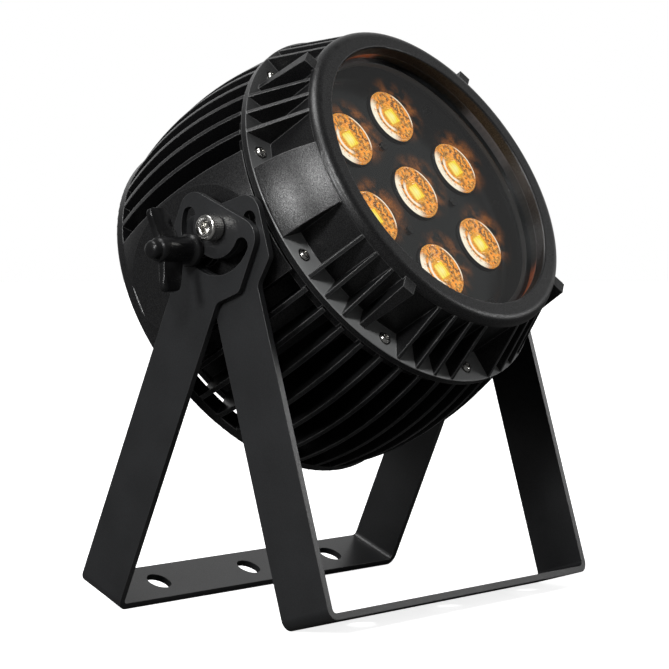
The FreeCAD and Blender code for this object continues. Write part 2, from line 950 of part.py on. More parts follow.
def make_flange_screws():
    """Ten stainless pan-head screws that clamp the front housing to the rear one."""
    places = flange_screw_places()
    seat = size.flange_front - size.flange_recess_depth
    body = discs("flange_screws", places, size.flange_screw_radius, size.seat_back, seat, HEAD_PLACE)
    top = seat + size.flange_screw_head_height
    add_discs(body, places, size.flange_screw_head, seat, top)
    drill(body, places, size.flange_socket_radius, top - size.flange_socket_depth, top)
    return body


def ring(name, inner, outer, bottom, top, place=HEAD_PLACE):
    return turned(name, rectangle(inner, outer, bottom, top), place)


def make_glass_parts():
    """The front window, the L-shaped gasket round its edge, the ring behind it and its screws."""
    front = size.glass_front
    back = front - size.glass_thickness
    ring_screws = retainer_screw_places()
    ring("front_glass", 0, size.glass_radius, back, front)
    gasket_profile = [
        (size.window_radius, front),
        (size.glass_radius, front),
        (size.glass_radius, size.retainer_front),
        (size.cavity_radius, size.retainer_front),
        (size.cavity_radius, size.lip_back),
        (size.window_radius, size.lip_back),
    ]
    gasket = turned("glass_gasket", gasket_profile, HEAD_PLACE)
    retainer = ring(
        "glass_retaining_ring",
        size.retainer_bore,
        size.retainer_radius,
        size.retainer_back,
        size.retainer_front,
    )
    for body in (gasket, retainer):
        drill(body, ring_screws, size.retainer_hole_radius, size.retainer_back, size.lip_back)
    screws = discs(
        "retaining_ring_screws",
        ring_screws,
        size.retainer_screw_radius,
        size.retainer_back,
        size.lip_back + size.retainer_screw_bite,
        HEAD_PLACE,
    )
    head_bottom = size.retainer_back - size.retainer_screw_head_height
    add_discs(screws, ring_screws, size.retainer_screw_head, head_bottom, size.retainer_back)
    socket_floor = head_bottom + size.retainer_socket_depth
    drill(screws, ring_screws, size.retainer_socket_radius, head_bottom, socket_floor)


# ---------------------------------------------------------------- optics


RING_LAMPS = 6


def lamp_places():
    """One lamp in the middle and six round it."""
    return [(0, 0)] + on_circle(size.lens_circle, evenly(RING_LAMPS, size.lens_turn.value))


def post_places():
    """Cover plate posts: three near the middle lens and three by the rim, between lenses."""
    pitch = 360 / RING_LAMPS
    between = size.lens_turn.value + pitch / 2
    inner = on_circle(size.inner_post_circle, evenly(3, between + pitch))
    outer = on_circle(size.outer_post_circle, evenly(3, between))
    return inner + outer


def turned_set(name, profile, places, place):
    """Equal bodies of revolution, one at each of the given places."""
    body = new_body(name, place)
    for across, along in places:
        moved = [(radius + across, *rest) for radius, *rest in profile]
        sketch = outline(body, "XZ_Plane", moved, -along)
        feature = add_feature(body, "Revolution", sketch)
        feature.ReferenceAxis = axis_through(body, sketch, across)
        feature.Angle = 360
    return body


def axis_through(body, sketch, across):
    """A construction line in the sketch, upright at the given distance from the origin."""
    x = Size.of(across).value
    number = sketch.addGeometry(Part.LineSegment(Vector(x, 0, 0), Vector(x, 1, 0)), True)
    pin_point(sketch, number, 1, (across, 0))
    pin_point(sketch, number, 2, (across, 1))
    return sketch, ["Axis0"]


def make_optics():
    lens = [
        (0, size.lens_well_top),
        (size.lens_well_radius, size.lens_well_top),
        (size.lens_well_radius, size.lens_back),
        (size.lens_back_radius, size.lens_back, size.lens_bulge_radius),
        (size.lens_radius, size.lens_shoulder),
        (size.lens_radius, size.lens_front),
        (0, size.lens_front),
    ]
    turned_set("lenses", lens, lamp_places(), HEAD_PLACE)
    holder = [
        (size.holder_throat_radius, size.board_front),
        (size.holder_foot_radius, size.board_front),
        (size.holder_radius, size.holder_collar),
        (size.holder_radius, size.holder_front),
        (size.holder_seat_radius, size.holder_front),
        (size.holder_seat_radius, size.holder_seat, -size.lens_bulge_radius),
        (size.holder_throat_radius, size.holder_back),
    ]
    turned_set("lens_holders", holder, lamp_places(), HEAD_PLACE)
    back, front = size.cover_plate_back, size.cover_plate_front
    cover = ring("led_cover_plate", 0, size.cover_plate_radius, back, front)
    drill(cover, lamp_places(), size.cover_plate_hole, back, front)
    drill(cover, post_places(), size.plate_hole_radius, back, front)
    posts = discs(
        "cover_plate_posts", post_places(), size.post_radius, size.web_front, back, HEAD_PLACE
    )
    drill(posts, post_places(), size.post_thread_radius, back - size.post_thread_depth, back)
    screw_end = back - size.plate_screw_bite
    screws = discs(
        "cover_plate_screws", post_places(), size.plate_screw_radius, screw_end, front, HEAD_PLACE
    )
    screw_top = front + size.plate_screw_head_height
    add_discs(screws, post_places(), size.plate_screw_head, front, screw_top)
    emitters = new_body("led_emitters", HEAD_PLACE)
    half_chip = size.chip_half_width
    chip_top = size.board_front + size.chip_thickness
    for across, along in lamp_places():
        add_block(
            emitters,
            across - half_chip,
            across + half_chip,
            along - half_chip,
            along + half_chip,
            size.board_front,
            chip_top,
        )
    doc.recompute()
    add_discs(emitters, lamp_places(), size.dome_radius, chip_top, chip_top + size.dome_height)
    board_disc("led_board", size.heat_pad_front, size.board_front)
    board_disc("heat_transfer_pad", size.web_front, size.heat_pad_front)


def board_disc(name, bottom, top):
    """A round sheet under the emitters, with holes for the posts."""
    body = ring(name, 0, size.board_radius, bottom, top)
    drill(body, post_places(), size.post_radius + size.post_gap, bottom, top)
    return body


# ---------------------------------------------------------------- electronics


def supply_corners():
    """Screw places at the corners of the power supply."""
    inset = size.supply_screw_inset
    across = size.supply_half_width - inset
    levels = (size.supply_bottom + inset, size.supply_top - inset)
    return [(across * side, level) for side in (-1, 1) for level in levels]


def make_electronics():
    half = size.supply_half_width
    low, high = size.supply_bottom, size.supply_top
    supply_back = size.web_back - size.supply_depth
    supply = block("power_supply", -half, half, low, high, supply_back, size.web_back, HEAD_PLACE)
    drill(supply, supply_corners(), size.board_hole_radius, supply_back, size.web_back)
    supply_screws = discs(
        "power_supply_screws",
        supply_corners(),
        size.supply_screw_radius,
        supply_back,
        size.web_back + size.supply_screw_bite,
        HEAD_PLACE,
    )
    head_back = supply_back - size.supply_screw_head_height
    add_discs(supply_screws, supply_corners(), size.supply_screw_head, head_back, supply_back)

    back, front = size.driver_board_back, size.driver_board_front
    half = size.driver_half_width
    low, high = size.driver_bottom, size.driver_top
    board = block("driver_board", -half, half, low, high, back, front, HEAD_PLACE)
    inset = size.board_screw_inset
    levels = (low + inset, high - inset)
    corners = [((half - inset) * side, level) for side in (-1, 1) for level in levels]
    drill(board, corners, size.board_hole_radius, back, front)
    posts = discs(
        "driver_board_posts", corners, size.driver_post_radius, front, size.web_back, HEAD_PLACE
    )
    drill(posts, corners, size.driver_post_bore, front, front + size.driver_post_bore_depth)
    screws = discs(
        "driver_board_screws",
        corners,
        size.driver_screw_radius,
        back,
        front + size.driver_screw_bite,
        HEAD_PLACE,
    )
    head_back = back - size.driver_screw_head_height
    add_discs(screws, corners, size.driver_screw_head, head_back, back)
    coils = [(size.coil_pitch * step, size.coil_level) for step in (-1.5, -0.5, 0.5, 1.5)]
    discs("driver_coils", coils, size.coil_radius, back - size.coil_height, back, HEAD_PLACE)
    cans = [(size.capacitor_pitch * step, size.capacitor_level) for step in range(-2, 3)]
    can_top = back - size.capacitor_height
    discs("driver_capacitors", cans, size.capacitor_radius, can_top, back, HEAD_PLACE)


def make_harness():
    """The lead from the driver board through the web to a plug on the lamp board."""
    across, along = harness_place()
    half = size.lead_radius
    board = size.board_front
    back, front = size.driver_board_back, size.driver_board_front
    lead_low = board + size.lead_level
    lead_high = lead_low + size.lead_thickness
    inner, outer = size.plug_inner, size.plug_outer
    plug_half = size.plug_half_width
    body = new_body("led_harness", HEAD_PLACE)
    add_discs(body, [(across, along)], size.lead_radius, back, board + size.lead_thickness)
    add_block(body, -half, half, inner, along, lead_low, lead_high)
    add_block(body, -plug_half, plug_half, inner, outer, board, board + size.plug_height)
    add_block(body, -half, half, size.driver_top, along, back, front)
    grommet_back = size.web_back - size.overrun
    grommet = discs(
        "harness_grommet",
        [(across, along)],
        size.grommet_radius,
        grommet_back,
        size.web_front,
        HEAD_PLACE,
    )
    drill(grommet, [(across, along)], size.grommet_bore, grommet_back, size.web_front)


# ---------------------------------------------------------------- rear cover and controls


def key_places():
    return [(size.key_pitch * step, size.key_level) for step in (-1.5, -0.5, 0.5, 1.5)]


def socket_places():
    """Power in and power out below, data in and data out beside them."""
    side = size.socket_side
    return {
        "power_inlet": (-side, size.socket_level),
        "power_outlet": (side, size.socket_level),
        "data_inlet": (-size.data_side, size.data_level),
        "data_outlet": (size.data_side, size.data_level),
    }


def make_rear_cover():
    back, front = size.cover_back, size.cover_front
    chamfer = size.cover_chamfer
    groove_floor = front - size.cover_groove_depth
    profile = [
        (0, back),
        (size.cover_radius - chamfer, back),
        (size.cover_radius, back + chamfer),
        (size.cover_radius, front),
        (size.cover_groove_outer, front),
        (size.cover_groove_outer, groove_floor),
        (size.cover_groove_inner, groove_floor),
        (size.cover_groove_inner, front),
        (0, front),
    ]
    cover = turned("rear_cover", profile, HEAD_PLACE)
    half = size.window_half_width
    low = size.window_level - size.window_height / 2
    high = size.window_level + size.window_height / 2
    ledge = size.window_ledge
    pane_front = back + size.window_thickness
    cut_block(cover, -half, half, low, high, back, front)
    cut_block(cover, -half - ledge, half + ledge, low - ledge, high + ledge, back, pane_front)
    drill(cover, key_places(), size.key_radius + size.key_gap, back, front)
    drill(cover, key_places(), size.key_seal_recess, front - size.key_seal_thickness, front)
    sockets = list(socket_places().values())
    drill(cover, sockets, size.socket_radius + size.socket_hole_gap, back, front)
    drill(cover, [(0, size.vent_level)], size.vent_radius + size.vent_hole_gap, back, front)
    drill(cover, [(0, size.eye_level)], size.eye_hole_radius, back, front)
    drill(cover, cover_screw_places(), size.cover_hole_radius, back, front)

    side_gap = size.cover_seal_side_gap
    seal_inner = size.cover_groove_inner + side_gap
    ring("rear_cover_gasket", seal_inner, size.cover_groove_outer - side_gap, groove_floor, front)
    screws = discs(
        "rear_cover_screws",
        cover_screw_places(),
        size.cover_screw_radius,
        back,
        front + size.cover_screw_bite,
        HEAD_PLACE,
    )
    head_back = back - size.cover_screw_head_height
    add_discs(screws, cover_screw_places(), size.cover_screw_head, head_back, back)
    socket_floor = head_back + size.cover_socket_depth
    drill(screws, cover_screw_places(), size.cover_socket_radius, head_back, socket_floor)

    reach = ledge - size.window_gap
    block(
        "display_window",
        -half - reach,
        half + reach,
        low - reach,
        high + reach,
        back,
        pane_front,
        HEAD_PLACE,
    )
    margin = size.display_margin
    block(
        "display_module",
        -half - margin,
        half + margin,
        low - margin,
        high + margin,
        front + size.display_gap,
        size.control_board_back,
        HEAD_PLACE,
    )


def make_controls():
    """The control board on its posts, the switches, and the four push keys with their seals."""
    board_back, board_front = size.control_board_back, size.control_board_front
    cover_back, cover_front = size.cover_back, size.cover_front
    half = size.control_half_width
    low, high = size.control_bottom, size.control_top
    block("control_board", -half, half, low, high, board_back, board_front, HEAD_PLACE)
    levels = (size.control_post_low, size.control_post_high)
    posts = [(size.control_post_side * side, level) for side in (-1, 1) for level in levels]
    discs("control_board_posts", posts, size.control_post_radius, cover_front, board_back, HEAD_PLACE)
    switches = new_body("key_switches", HEAD_PLACE)
    half = size.switch_half_width
    switch_back = board_back - size.switch_height
    for across, along in key_places():
        add_block(
            switches, across - half, across + half, along - half, along + half, switch_back, board_back
        )
    doc.recompute()
    stem_end = cover_front + size.switch_stem_end
    add_discs(switches, key_places(), size.switch_stem_radius, stem_end, switch_back)
    key_back = cover_back - size.key_proud
    flange_back = cover_front + size.key_flange_back
    flange_front = cover_front + size.key_flange_front
    for name, centre in zip(("menu_key", "down_key", "up_key", "enter_key"), key_places()):
        key = discs(name, [centre], size.key_radius, key_back, flange_back, HEAD_PLACE)
        add_discs(key, [centre], size.key_flange_radius, flange_back, flange_front)
    seal_back = cover_front - size.key_seal_thickness
    seals = discs(
        "key_seals", key_places(), size.key_seal_radius, seal_back, cover_front, HEAD_PLACE
    )
    drill(seals, key_places(), size.key_radius + size.key_gap, seal_back, cover_front)


def make_sockets():
    """Four sealed panel sockets: shell, contact insert, seal, nut inside and cap outside."""
    back, front = size.cover_back, size.cover_front
    places = list(socket_places().values())
    outer_end = back - size.socket_out
    inner_end = front + size.socket_in
    collar_back = back - size.socket_collar_height
    seal_back = back - size.socket_seal_thickness
    bore = size.socket_radius + size.socket_gap
    for name, centre in socket_places().items():
        shell = discs(name, [centre], size.socket_radius, outer_end, inner_end, HEAD_PLACE)
        add_discs(shell, [centre], size.socket_collar_radius, collar_back, seal_back)
        drill(shell, [centre], size.socket_bore, outer_end, inner_end)
    insert_back = back - size.insert_out
    inserts = discs(
        "socket_inserts", places, size.insert_radius, insert_back, front + size.insert_in, HEAD_PLACE
    )
    circle = size.pin_circle
    pins = [
        (across + circle * cosine(angle), along + circle * sine(angle))
        for across, along in places
        for angle in evenly(3, 90)
    ]
    drill(inserts, pins, size.pin_radius, insert_back, insert_back + size.pin_depth)
    seals = discs("socket_seals", places, size.socket_seal_radius, seal_back, back, HEAD_PLACE)
    drill(seals, places, bore, seal_back, back)
    nut_front = front + size.socket_nut_height
    nuts = discs("socket_nuts", places, size.socket_nut_radius, front, nut_front, HEAD_PLACE)
    drill(nuts, places, bore, front, nut_front)
    cap_back = back - size.socket_cap_end
    caps = discs("socket_caps", places, size.socket_cap_radius, cap_back, collar_back, HEAD_PLACE)
    drill(caps, places, bore, outer_end, collar_back)


def make_rear_fittings():
    """The pressure vent and the eye for a safety cable."""
    back, front = size.cover_back, size.cover_front
    vent_place = [(0, size.vent_level)]
    vent_back = back - size.vent_head_height
    vent_front = front + size.vent_in
    vent = discs("pressure_vent", vent_place, size.vent_radius, back, vent_front, HEAD_PLACE)
    add_discs(vent, vent_place, size.vent_head_radius, vent_back, back)
    drill(vent, vent_place, size.vent_bore, vent_back, vent_front)

    level = size.eye_level
    radius, rod = size.eye_ring_radius, size.eye_rod_radius
    eye = new_body("safety_eye", HEAD_PLACE)
    add_discs(eye, [(0, level)], size.eye_shank_radius, back, front + size.eye_in)
    add_discs(eye, [(0, level)], size.eye_collar_radius, back - size.eye_collar_height, back)
    centre = (level, back - size.eye_ring_sink - radius - rod)
    pad(eye, circles(eye, "YZ_Plane", [centre], radius + rod), rod * 2, midplane=True)
    bore = circles(eye, "YZ_Plane", [centre], radius - rod)
    pocket(eye, bore, rod * 2 + size.overrun, midplane=True)
    nut_front = front + size.eye_nut_height
    nut = discs("safety_eye_nut", [(0, level)], size.eye_nut_radius, front, nut_front, HEAD_PLACE)
    drill(nut, [(0, level)], size.eye_nut_bore, front, nut_front)


# ---------------------------------------------------------------- pivot and wing knobs


def along_x(name, centre, radius, inner_x, outer_x, side=None, place=HEAD_PLACE):
    """Round bars along the tilt axis, on one side of the head or, with no side, on both."""
    body = new_body(name, place)
    add_along_x(body, centre, radius, inner_x, outer_x, side)
    return body


def add_along_x(body, centre, radius, inner_x, outer_x, side=None):
    for sign in (1, -1) if side is None else (side,):
        sketch = circles(body, "YZ_Plane", [centre], radius, Size.of(inner_x) * sign)
        pad(body, sketch, Size.of(outer_x) - inner_x, reverse=sign < 0)


def cut_along_x(body, centre, radius, inner_x, outer_x, side=None):
    for sign in (1, -1) if side is None else (side,):
        sketch = circles(body, "YZ_Plane", [centre], radius, Size.of(inner_x) * sign)
        pocket(body, sketch, Size.of(outer_x) - inner_x, reverse=sign > 0)


def make_pivots():
    """The screws that both yokes turn on, their washers, and the studs for the wing knobs."""
    centre = (0, 0)
    thread_root = size.boss_face - size.thread_depth + size.thread_end_gap
    head_seat = size.outer_half_width + size.pivot_head_gap
    head_top = head_seat + size.pivot_head_height
    screws = along_x("pivot_screws", centre, size.pivot_screw_radius, thread_root, head_seat)
    add_along_x(screws, centre, size.pivot_head_radius, head_seat, head_top)
    cut_along_x(screws, centre, size.pivot_socket_radius, head_top - size.pivot_socket_depth, head_top)
    washer_top = size.boss_face + size.washer_thickness
    washers = along_x("pivot_washers", centre, size.boss_radius, size.boss_face, washer_top)
    bore = size.pivot_screw_radius + size.washer_gap
    cut_along_x(washers, centre, bore, size.boss_face, washer_top)
    stud_end = size.outer_half_width + size.knob_gap + size.knob_length - size.stud_short
    along_x("knob_studs", stud_centre(), size.pivot_screw_radius, thread_root, stud_end)


def knob_place():
    """The knob frame: on the stud's axis, with y along the upper wing."""
    level, forward = (value.value for value in stud_centre())
    turn = Rotation(X_AXIS, size.knob_turn.value)
    return HEAD_PLACE.multiply(FreeCAD.Placement(Vector(0, level, forward), turn))


def make_wing_knob(name, side):
    """A moulded knob with two flared wings, on a threaded brass insert."""
    centre = (0, 0)
    place = knob_place()
    foot = size.outer_half_width + size.knob_gap
    end = foot + size.knob_length
    insert_top = foot + size.knob_insert_length
    knob = along_x(name, centre, size.knob_radius, foot, end, side, place)
    add_along_x(knob, centre, size.knob_foot_radius, foot, foot + size.knob_foot_height, side)
    wing = [
        (foot + size.wing_start, 0),
        (foot + size.wing_start, size.knob_radius),
        (foot + size.wing_inner_shoulder, size.wing_reach - size.wing_corner),
        (foot + size.wing_inner_tip, size.wing_reach),
        (foot + size.wing_outer_tip, size.wing_reach),
        (foot + size.wing_outer_shoulder, size.wing_reach - size.wing_corner),
        (foot + size.wing_end, size.knob_radius),
        (foot + size.wing_end, 0),
    ]
    for way in (1, -1):
        corners = [(across * side, reach * way) for across, reach in wing]
        pad(knob, outline(knob, "XY_Plane", corners), size.wing_half_thickness * 2, midplane=True)
    cut_along_x(knob, centre, size.knob_insert_radius, foot, insert_top, side)
    cut_along_x(knob, centre, size.knob_bore, insert_top, end - size.knob_end_wall, side)
    insert = along_x(f"{name}_insert", centre, size.knob_insert_radius, foot, insert_top, side, place)
    cut_along_x(insert, centre, size.knob_bore, foot, insert_top, side)


def write_parts():
    """Checks every object, then writes one file for each sub-part."""
    doc.recompute()
    for item in doc.Objects:
        if "Invalid" in item.State or "Error" in item.State:
            raise ValueError(f"{item.Name} did not compute: {item.State}")
    for body in sub_parts:
        if body.Shape.isNull() or not body.Shape.isValid() or not body.Shape.Solids:
            raise ValueError(f"{body.Label} is not a valid solid")
    os.makedirs("parts", exist_ok=True)
    for body in sub_parts:
        body.Shape.exportStep(f"parts/{body.Label}.step")


make_rear_housing()
make_front_housing()
make_flange_screws()
ring("housing_gasket", size.groove_inner, size.groove_outer, size.groove_floor, size.flange_back)
make_glass_parts()
make_optics()
make_electronics()
make_harness()
make_rear_cover()
make_controls()
make_sockets()
make_rear_fittings()
make_pivots()
make_wing_knob("knob_left", -1)
make_wing_knob("knob_right", 1)
write_parts()
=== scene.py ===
import json
from math import cos, pi, radians, sin

import bmesh
import bpy
from mathutils import Matrix, Vector


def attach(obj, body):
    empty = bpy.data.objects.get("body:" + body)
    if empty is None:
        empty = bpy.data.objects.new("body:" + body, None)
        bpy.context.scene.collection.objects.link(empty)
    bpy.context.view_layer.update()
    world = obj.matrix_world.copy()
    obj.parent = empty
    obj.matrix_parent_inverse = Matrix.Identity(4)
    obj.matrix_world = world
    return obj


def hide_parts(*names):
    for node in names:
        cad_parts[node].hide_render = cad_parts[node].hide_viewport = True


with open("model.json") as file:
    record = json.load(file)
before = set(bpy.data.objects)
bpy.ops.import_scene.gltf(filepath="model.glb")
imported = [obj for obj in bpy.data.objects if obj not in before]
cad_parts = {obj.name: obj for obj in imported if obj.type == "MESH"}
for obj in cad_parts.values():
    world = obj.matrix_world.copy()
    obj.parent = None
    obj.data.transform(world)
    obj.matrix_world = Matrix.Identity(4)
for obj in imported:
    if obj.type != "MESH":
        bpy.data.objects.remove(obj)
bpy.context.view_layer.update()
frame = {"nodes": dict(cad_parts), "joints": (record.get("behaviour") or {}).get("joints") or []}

# Sizes are in metres, in the CAD's frame: +X along the tilt axis, -Y the lit side, +Z up.
MM = 0.001
joints = {joint["name"]: joint for joint in frame["joints"]}
PIVOT = Vector(joints["head_tilt"]["pos_m"])
# Head frame: x along the tilt axis, y up, z along the beam.
HEAD_TURN = radians(61)
HEAD = Matrix.Translation(PIVOT) @ Matrix.Rotation(HEAD_TURN, 4, "X")
HEAD_ACROSS = Vector((1.0, 0.0, 0.0))
HEAD_UP = Vector((0.0, cos(HEAD_TURN), sin(HEAD_TURN)))
BEAM = Vector((0.0, -sin(HEAD_TURN), cos(HEAD_TURN)))

# Places on the head, from the pivot.
FLANGE_FACE = 25.3 * MM
LENS_RADIUS = 15.4 * MM
LENS_CIRCLE = 48 * MM
LENS_TURN = radians(20.2)
LENS_FRONT = 42.6 * MM

# Noise scales, in patterns to a metre.
MOTTLE = 45
SMUDGES = 60
HANDLING_MARKS = 70
TARNISH = 120
RUBBED_PATCHES = 160
TURNING_MARKS = 350
SPECKS = 900

# The Mix node's factor, first and second colour, and its colour output, by number.
MIX_SOCKETS = (0, 6, 7)
MIX_COLOUR = 2


# ---------------------------------------------------------------- shader helper


class Shader:
    """A material with a Principled shader, and short calls for the nodes round it."""

    def __init__(self, name, colour=None, roughness=None, **sockets):
        self.material = bpy.data.materials.new(name)
        self.material.use_nodes = True
        tree = self.material.node_tree
        self.nodes, self.links = tree.nodes, tree.links
        self.base = self.nodes["Principled BSDF"]
        self.output = self.nodes["Material Output"]
        if colour is not None:
            self.set(self.base, "Base Color", colour)
        if roughness is not None:
            self.set(self.base, "Roughness", roughness)
        for socket, value in sockets.items():
            self.set(self.base, socket.replace("_", " "), value)

    def set(self, node, socket, value):
        """Joins an output to the socket, or stores a plain number or colour in it."""
        target = node.inputs[socket]
        if isinstance(value, bpy.types.NodeSocket):
            self.links.new(value, target)
        elif target.type == "RGBA" and len(value) == 3:
            target.default_value = (*value, 1)
        else:
            target.default_value = value

    def node(self, kind, settings=None, **sockets):
        """A new node; a socket is given by its name, or as i0, i1 and so on by its number."""
        node = self.nodes.new("ShaderNode" + kind)
        for key, value in (settings or {}).items():
            setattr(node, key, value)
        for socket, value in sockets.items():
            name = int(socket[1:]) if socket[1:].isdigit() else socket.replace("_", " ")
            self.set(node, name, value)
        return node

    def place(self):
        return self.node("TexCoord").outputs["Object"]

    def attribute(self, name, output):
        return self.node("Attribute", {"attribute_name": name}).outputs[output]

    def noise(self, scale, detail=2, where=None):
        where = where or self.place()
        return self.node("TexNoise", Scale=scale, Detail=detail, Vector=where).outputs["Fac"]

    def math(self, operation, a, b=0.0):
        return self.node("Math", {"operation": operation}, i0=a, i1=b).outputs[0]

    def vector(self, operation, a, b=(0, 0, 0)):
        """A vector operation whose answer is a number."""
        return self.node("VectorMath", {"operation": operation}, i0=a, i1=b).outputs["Value"]

    def along(self, direction):
        """How far the point lies from the pivot in a direction."""
        level = self.vector("DOT_PRODUCT", self.place(), direction)
        return self.math("SUBTRACT", level, PIVOT.dot(direction))

    def ramp(self, value, low, high, to_low=0.0, to_high=1.0, smooth=False):
        """Takes low..high to to_low..to_high, and holds the ends beyond them."""
        settings = {"interpolation_type": "SMOOTHSTEP" if smooth else "LINEAR"}
        node = self.node("MapRange", settings, Value=value, From_Min=low, From_Max=high)
        self.set(node, "To Min", to_low)
        self.set(node, "To Max", to_high)
        return node.outputs["Result"]

    def blend(self, factor, a, b):
        """Colour a where the factor is 0, colour b where it is 1."""
        node = self.node("Mix", {"data_type": "RGBA"})
        for index, value in zip(MIX_SOCKETS, (factor, a, b)):
            self.set(node, index, value)
        return node.outputs[MIX_COLOUR]

    def rounded(self, radius):
        """The normal as it would be with edges of this radius."""
        return self.node("Bevel", {"samples": 6}, Radius=radius).outputs["Normal"]

    def edge(self, rounded):
        """1 on an edge, 0 away from it, from how far the rounded normal turns."""
        flat = self.node("NewGeometry").outputs["Normal"]
        return self.ramp(self.vector("DOT_PRODUCT", rounded, flat), 0.88, 1.0, 1.0, 0.0)

    def bump(self, height, distance, normal):
        return self.node("Bump", Height=height, Distance=distance, Normal=normal).outputs["Normal"]

    def mix_into_output(self, factor, first, second):
        mixed = self.node("MixShader", i0=factor, i1=first.outputs[0], i2=second.outputs[0])
        self.set(self.output, "Surface", mixed.outputs[0])


# ---------------------------------------------------------------- material recipes


def powder(
    name, colour, edge_wear_and_highlight_colour, roughness, grain, height, bevel, wear_and_highlight, dullest, flange=None
):
    """Powder coat: fine grain, faint mottling, and lighter edges that stand for scuffed paint and
    a painted highlight.

    A flange colour, if given, is painted light on the lower part of the flange's front face."""
    shader = Shader(name)
    fine = shader.noise(grain, 3)
    mottled = [channel * 1.35 for channel in colour]
    paint = shader.blend(shader.ramp(shader.noise(MOTTLE, 4), 0.35, 0.7), colour, mottled)
    turned = shader.rounded(bevel)
    patchy = shader.ramp(shader.noise(RUBBED_PATCHES, 3), 0.3, 0.7, 0.35, 1)
    rubbed_and_highlit = shader.math("MULTIPLY", shader.edge(turned), patchy)
    if flange:
        off = shader.math("ABSOLUTE", shader.math("SUBTRACT", shader.along(BEAM), FLANGE_FACE))
        on_flange = shader.ramp(off, 0.2 * MM, 0.4 * MM, 1.0, 0.0)
        # Painted light: the flange face turns lighter towards the bottom, as if lit there.
        painted_light_low_down = shader.ramp(shader.along(HEAD_UP), 40 * MM, -15 * MM, 0.15, 1.0)
        paint = shader.blend(shader.math("MULTIPLY", on_flange, painted_light_low_down), paint, flange)
    # Lighter edges: partly scuffed paint, partly a painted highlight along every turned edge,
    # creases too.
    edge_wear_and_highlight = shader.math("MULTIPLY", rubbed_and_highlit, wear_and_highlight)
    shader.set(shader.base, "Base Color", shader.blend(edge_wear_and_highlight, paint, edge_wear_and_highlight_colour))
    rough = shader.ramp(fine, 0.3, 0.7, roughness - 0.06, roughness + 0.08)
    shader.set(shader.base, "Roughness", rough)
    sparkle = shader.ramp(shader.noise(grain * 1.5, 1), 0.35, 0.68, dullest, 1.0 - 0.4 * dullest)
    shader.set(shader.base, "Specular IOR Level", sparkle)
    shader.set(shader.base, "Normal", shader.bump(fine, height, turned))
    return shader.material


def moulded(name, colour, roughness, grain, height=0.03 * MM, bevel=0.4 * MM, **sockets):
    """Moulded plastic or rubber: soft edges, fine grain and faint handling marks."""
    shader = Shader(name, **sockets)
    marks = shader.noise(HANDLING_MARKS, 5)
    lighter = [channel * 1.5 + 0.004 for channel in colour]
    tone = shader.blend(shader.ramp(marks, 0.4, 0.75), colour, lighter)
    rough = shader.ramp(marks, 0.3, 0.7, roughness - 0.05, roughness + 0.1)
    normal = shader.bump(shader.noise(grain, 2), height, shader.rounded(bevel))
    shader.set(shader.base, "Base Color", tone)
    shader.set(shader.base, "Roughness", rough)
    shader.set(shader.base, "Normal", normal)
    return shader.material


def metal(name, colour, roughness, bevel=0.25 * MM):
    """Bare metal with fine turning or drawing marks and slight tarnish."""
    shader = Shader(name, Metallic=1.0)
    darker = [channel * 0.7 for channel in colour]
    tarnish = shader.ramp(shader.noise(TARNISH, 4), 0.35, 0.75)
    tone = shader.blend(tarnish, colour, darker)
    marks = shader.noise(TURNING_MARKS, 2)
    rough = shader.ramp(marks, 0.3, 0.7, roughness - 0.08, roughness + 0.1)
    shader.set(shader.base, "Base Color", tone)
    shader.set(shader.base, "Roughness", rough)
    shader.set(shader.base, "Normal", shader.bump(marks, 0.015 * MM, shader.rounded(bevel)))
    return shader.material


def make_clear(name, tint, gloss, smudge):
    """Clear sheet: lets light straight through, with a reflection that grows to the edge."""
    shader = Shader(name)
    shader.nodes.remove(shader.base)
    clear = shader.node("BsdfTransparent", Color=tint)
    shine = shader.node("BsdfGlossy", Color=(1, 1, 1))
    smudges = shader.ramp(shader.noise(SMUDGES, 4), 0.3, 0.8, gloss, gloss + smudge)
    shader.set(shine, "Roughness", smudges)
    inside = shader.node("NewGeometry").outputs["Backfacing"]
    outside = shader.math("SUBTRACT", 1.0, inside)
    mirror = shader.math("MULTIPLY", shader.node("Fresnel", IOR=1.5).outputs["Fac"], outside)
    shader.mix_into_output(mirror, clear, shine)
    return shader.material


def make_emitter_light():
    """The lit lamps, a little uneven."""
    shader = Shader("emitter_light", (1, 0.6, 0.15), 0.4)
    light = shader.blend(shader.noise(SPECKS, 2), (1, 0.55, 0.1), (1, 0.75, 0.25))
    shader.set(shader.base, "Emission Color", light)
    shader.set(shader.base, "Emission Strength", 6.0)
    return shader.material


def lens_places():
    """The middle lens and the six round it, in the head's x and y."""
    angles = [LENS_TURN + radians(60 * k) for k in range(6)]
    ring = [(LENS_CIRCLE * cos(angle), LENS_CIRCLE * sin(angle)) for angle in angles]
    return [(0.0, 0.0)] + ring


